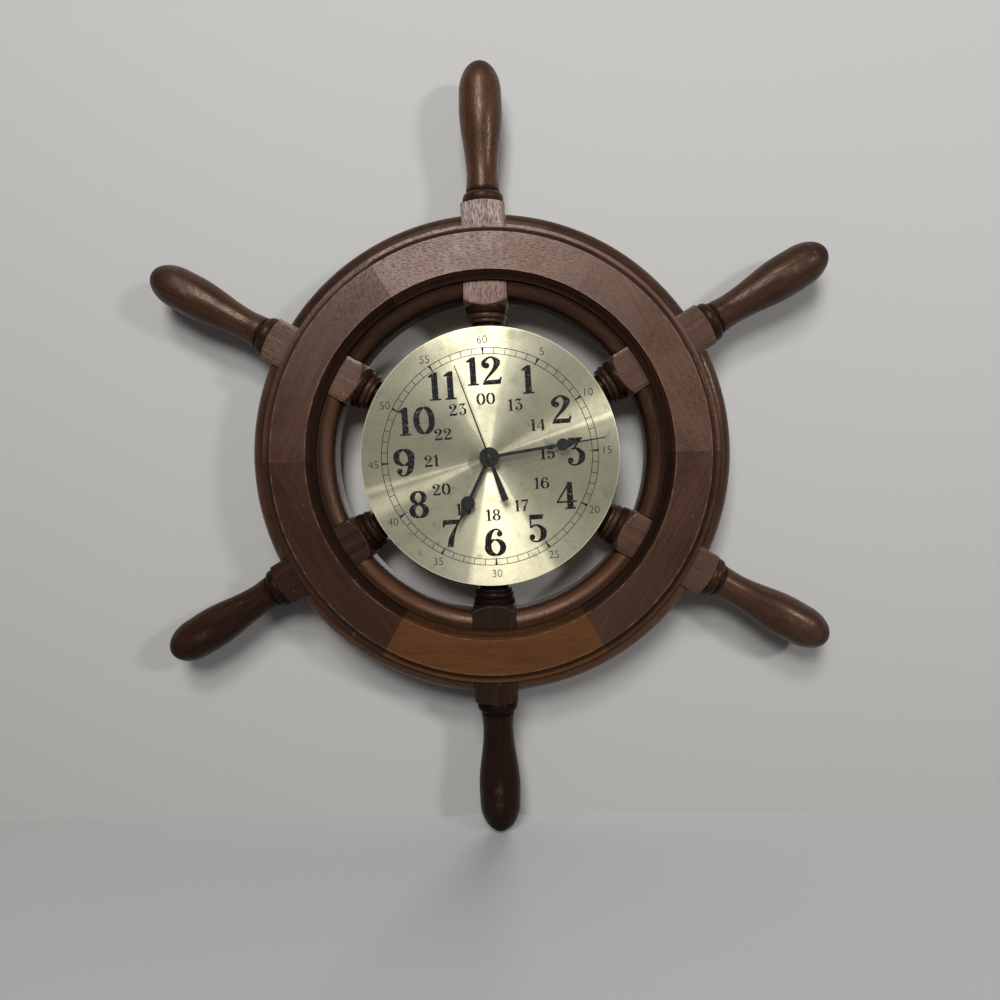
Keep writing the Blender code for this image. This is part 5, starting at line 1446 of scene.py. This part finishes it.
def finishes():
    """All materials by name, made once."""
    made = FINISH_CACHE
    if made:
        return made
    groups = {"timber": timber_group(), "worn": worn_group(), "speck": speck_group()}
    paint = bpy.context.scene.ship_wheel_finishes
    turn = bpy.context.scene.ship_wheel_dial.turn
    for label, (name, stain, *lacquer) in TIMBERS.items():
        light = getattr(paint, f"{stain}_light")
        dark = getattr(paint, f"{stain}_dark")
        made[label] = timber(name, groups, light, dark, paint.worn, *lacquer)
    made["dial"] = brushed_dial("sunburst brass", paint.brass_dull, paint.brass_bright, turn)
    made["ink"] = black_finish("dial ink", groups, paint.enamel, 0.55, 0.15, RUBBED)
    made["hands"] = black_finish("hand enamel", groups, paint.enamel, 0.36)
    made["plastic"] = black_finish("moulded case", groups, paint.plastic, 0.48)
    made["rubber"] = black_finish("gasket rubber", groups, paint.plastic, 0.75)
    for label, (name, *metal) in METALS.items():
        made[label] = metal_finish(name, groups, *metal)
    for label, (name, *moulded) in PLASTICS.items():
        made[label] = plastic_finish(name, groups, *moulded)
    made["cell"] = cell_finish("battery jacket", groups)
    return made


def dress(node, finish):
    """Give a solid that stays in view its finish."""
    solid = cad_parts[node]
    solid.data.materials.clear()
    solid.data.materials.append(finish)


# Operators
class ShipWheelOperator:
    """Shared settings of the operators."""

    bl_options = {"REGISTER", "UNDO"}


class SHIPWHEEL_OT_spokes(ShipWheelOperator, bpy.types.Operator):
    """Turn the six spokes with their handles"""

    bl_idname = "ship_wheel.spokes"
    bl_label = "Turned Spokes"

    def execute(self, context):
        for number in range(1, SPOKES + 1):
            block = finishes()["dusty" if number == 1 else "block"]
            add_spoke(number, context.scene.ship_wheel_timber, finishes()["turned"], block)
        return {"FINISHED"}


class SHIPWHEEL_OT_rim(ShipWheelOperator, bpy.types.Operator):
    """Shape the felloes and the facings of the rim"""

    bl_idname = "ship_wheel.rim"
    bl_label = "Felloes and Facings"

    def execute(self, context):
        made = finishes()
        add_rim(context.scene.ship_wheel_timber, made["felloe"], made["facing"], made["warm"])
        return {"FINISHED"}


class SHIPWHEEL_OT_hub(ShipWheelOperator, bpy.types.Operator):
    """Turn the hub with its pocket and sockets"""

    bl_idname = "ship_wheel.hub"
    bl_label = "Hub"

    def execute(self, context):
        add_hub(context.scene.ship_wheel_timber, finishes()["turned"])
        return {"FINISHED"}


class SHIPWHEEL_OT_dial(ShipWheelOperator, bpy.types.Operator):
    """Make the brass dial and print it"""

    bl_idname = "ship_wheel.dial"
    bl_label = "Dial"

    def execute(self, context):
        add_dial(finishes()["dial"])
        add_print(context.scene.ship_wheel_dial, finishes()["ink"])
        return {"FINISHED"}


class SHIPWHEEL_OT_hands(ShipWheelOperator, bpy.types.Operator):
    """Cut the hour, minute and second hands"""

    bl_idname = "ship_wheel.hands"
    bl_label = "Hands"

    def execute(self, context):
        add_hands(context.scene.ship_wheel_hands, finishes()["hands"])
        return {"FINISHED"}


class SHIPWHEEL_OT_movement(ShipWheelOperator, bpy.types.Operator):
    """Finish the movement, its fastening and its battery"""

    bl_idname = "ship_wheel.movement"
    bl_label = "Movement"

    def execute(self, context):
        made = finishes()
        for finish, nodes in (
                ("plastic", ("movement_case", "movement_cover", "set_knob")),
                ("rubber", ("shaft_gasket",)),
                ("brass", ("shaft_washer", "shaft_nut")),
                ("steel", ("battery_contact_plus", "battery_contact_minus", "stator", "quartz_crystal")),
                ("copper", ("drive_coil",)),
                ("magnet", ("rotor",)),
                ("nylon", ("intermediate_wheel", "second_wheel", "third_wheel", "centre_wheel",
                           "motion_wheel", "hour_wheel")),
                ("board", ("circuit_board",))):
            for node in nodes:
                dress(node, made[finish])
        add_battery(made["cell"])
        return {"FINISHED"}


class SHIPWHEEL_OT_hanger(ShipWheelOperator, bpy.types.Operator):
    """Finish the keyhole plate and its screws"""

    bl_idname = "ship_wheel.hanger"
    bl_label = "Hanger"

    def execute(self, context):
        dress("hanger_plate", finishes()["brass"])
        add_screws(finishes()["steel"])
        return {"FINISHED"}


# Stage
ROOM = 3.0                          # reach of the wall and the floor
WALL_GAP = 0.4 * MM                 # between the clock's back and the wall
FLOOR_GAP = 0.5 * MM                # between the lowest handles and the floor
FLOOR_BOUNCE = 0.15                 # share of its light that the floor throws back at the clock
# Place, and width and height, of each lamp, whose power is the stage's setting of the same name
LAMPS = {
    "panel": ((-0.14, -1.20, 0.62), (0.48, 0.36)),
    "overhead": ((-0.10, -1.45, 1.40), (0.60, 0.30)),
    "side": ((1.00, -0.95, 0.36), (0.16, 0.16)),
    "behind": ((0.30, 1.30, 0.30), (0.80, 0.50)),
}


def stage_material(name, tint, bounce):
    """Plain painted surface that is clear from behind and casts no shadow, so the clock's back is lit.

    To diffuse rays it is darker, by the bounce.
    """
    made, sheet, shader = new_material(name)
    shade = tuple(value * 0.97 for value in tint)
    painted = sheet.mix(sheet.noise(sheet.position(), 3.0, 3.0), rgba(shade), rgba(tint))
    path = sheet.node("ShaderNodeLightPath").outputs
    dimmed = tuple(value * bounce for value in tint)
    sheet.feed(shader["Base Color"], sheet.mix(path["Is Diffuse Ray"], painted, rgba(dimmed)))
    shader["Roughness"].default_value = 0.85
    behind = sheet.node("ShaderNodeNewGeometry").outputs["Backfacing"]
    clear = sheet.node("ShaderNodeBsdfTransparent")
    both = sheet.node("ShaderNodeMixShader")
    sheet.feed(both.inputs[0], sheet.sums("MAXIMUM", behind, path["Is Shadow Ray"]))
    sheet.feed(both.inputs[1], made.node_tree.nodes["Principled BSDF"].outputs[0])
    sheet.feed(both.inputs[2], clear.outputs[0])
    sheet.feed(made.node_tree.nodes["Material Output"].inputs["Surface"], both.outputs[0])
    return made


def add_sheet(name, corners, finish):
    """Flat stage surface."""
    mesh = bpy.data.meshes.new(name)
    mesh.from_pydata(corners, [], [(0, 1, 2, 3)])
    mesh.materials.append(finish)
    made = bpy.data.objects.new(name, mesh)
    bpy.context.scene.collection.objects.link(made)


def add_lamp(name, place, size, power):
    """Rectangular soft lamp that faces the wheel's middle."""
    lamp = bpy.data.lights.new(name, "AREA")
    lamp.shape = "RECTANGLE"
    lamp.size, lamp.size_y = size
    lamp.energy = power
    made = bpy.data.objects.new(name, lamp)
    made.matrix_world = facing_middle(place)
    bpy.context.scene.collection.objects.link(made)


def facing_middle(place):
    """Matrix at a place with -Z towards the wheel's middle and Y as near up as it goes."""
    back = np.array(place) / np.linalg.norm(place)
    right = np.cross((0.0, 0.0, 1.0), back)
    right /= np.linalg.norm(right)
    up = np.cross(back, right)
    made = np.eye(4)
    made[:3, :3] = np.stack([right, up, back], axis=-1)
    made[:3, 3] = place
    return Matrix(made.tolist())


def turn_about(axis, amount):
    """Rotation about a named axis as an array."""
    return np.array(Matrix.Rotation(amount, 3, axis))


def add_camera(stage):
    """Camera at the photographed place: a point (x, -z, y) of the wheel is turned by pitch, yaw and
    roll and moved by the offset to lie right of, below and before the camera."""
    swap = np.array([[1.0, 0.0, 0.0], [0.0, 0.0, -1.0], [0.0, 1.0, 0.0]])
    view = turn_about("X", stage.pitch) @ turn_about("Y", stage.yaw) @ turn_about("Z", stage.roll) @ swap
    made = np.eye(4)
    made[:3, :3] = np.stack([view[0], -view[1], -view[2]], axis=-1)
    made[:3, 3] = -view.T @ np.array(stage.offset)
    lens = bpy.data.cameras.new("camera")
    lens.lens = stage.lens
    lens.sensor_width = 36.0
    lens.clip_start = 0.01
    camera = bpy.data.objects.new("camera", lens)
    camera.matrix_world = Matrix(made.tolist())
    bpy.context.scene.collection.objects.link(camera)
    bpy.context.scene.camera = camera


class SHIPWHEEL_OT_stage(ShipWheelOperator, bpy.types.Operator):
    """Set up the wall, the floor, the lamps and the camera"""

    bl_idname = "ship_wheel.stage"
    bl_label = "Stage"

    def execute(self, context):
        scene = context.scene
        stage = scene.ship_wheel_stage
        low = CAD_BOX[0].z - FLOOR_GAP
        wall = [(-ROOM, WALL_GAP, low), (ROOM, WALL_GAP, low),
                (ROOM, WALL_GAP, ROOM), (-ROOM, WALL_GAP, ROOM)]
        floor = [(-ROOM, -ROOM, low), (ROOM, -ROOM, low), (ROOM, ROOM, low), (-ROOM, ROOM, low)]
        add_sheet("wall", wall, stage_material("wall paint", stage.wall, 1.0))
        add_sheet("floor", floor, stage_material("floor paint", stage.floor, FLOOR_BOUNCE))
        for name, (place, size) in LAMPS.items():
            add_lamp(name, place, size, getattr(stage, name))
        world = scene.world or bpy.data.worlds.new("room")
        scene.world = world
        world.use_nodes = True
        sky = world.node_tree.nodes["Background"]
        sky.inputs["Color"].default_value = rgba((1.0, 1.0, 1.0))
        sky.inputs["Strength"].default_value = stage.sky
        scene.view_settings.view_transform = "Standard"
        add_camera(stage)
        return {"FINISHED"}


OPERATORS = (SHIPWHEEL_OT_stage, SHIPWHEEL_OT_spokes, SHIPWHEEL_OT_rim, SHIPWHEEL_OT_hub, SHIPWHEEL_OT_dial,
             SHIPWHEEL_OT_hands, SHIPWHEEL_OT_movement, SHIPWHEEL_OT_hanger)
SETTINGS = {"ship_wheel_timber": WheelSizes, "ship_wheel_dial": DialSizes, "ship_wheel_hands": HandSizes,
            "ship_wheel_finishes": Finishes, "ship_wheel_stage": StageSettings}


class SHIPWHEEL_PT_panel(bpy.types.Panel):
    """Buttons and settings for the clock"""

    bl_idname = "SHIPWHEEL_PT_panel"
    bl_label = "Ship Wheel Clock"
    bl_space_type = "VIEW_3D"
    bl_region_type = "UI"
    bl_category = "Ship Wheel"

    def draw(self, context):
        for operator in OPERATORS:
            self.layout.operator(operator.bl_idname)
        for label in SETTINGS:
            box = self.layout.box()
            box.label(text=SETTINGS[label].__doc__)
            settings = getattr(context.scene, label)
            for key in SETTINGS[label].__annotations__:
                box.prop(settings, key)


CLASSES = (*SETTINGS.values(), *OPERATORS, SHIPWHEEL_PT_panel)


def register():
    """Register the classes and put the settings on the scene."""
    for kind in CLASSES:
        bpy.utils.register_class(kind)
    for label, kind in SETTINGS.items():
        setattr(bpy.types.Scene, label, PointerProperty(type=kind))


def unregister():
    """Take the settings and the classes away again."""
    for label in SETTINGS:
        delattr(bpy.types.Scene, label)
    for kind in reversed(CLASSES):
        bpy.utils.unregister_class(kind)


def main():
    """Build every piece around the solids."""
    register()
    for operator in OPERATORS:
        group, call = operator.bl_idname.split(".")
        getattr(getattr(bpy.ops, group), call)()


if __name__ == "__main__":
    main()
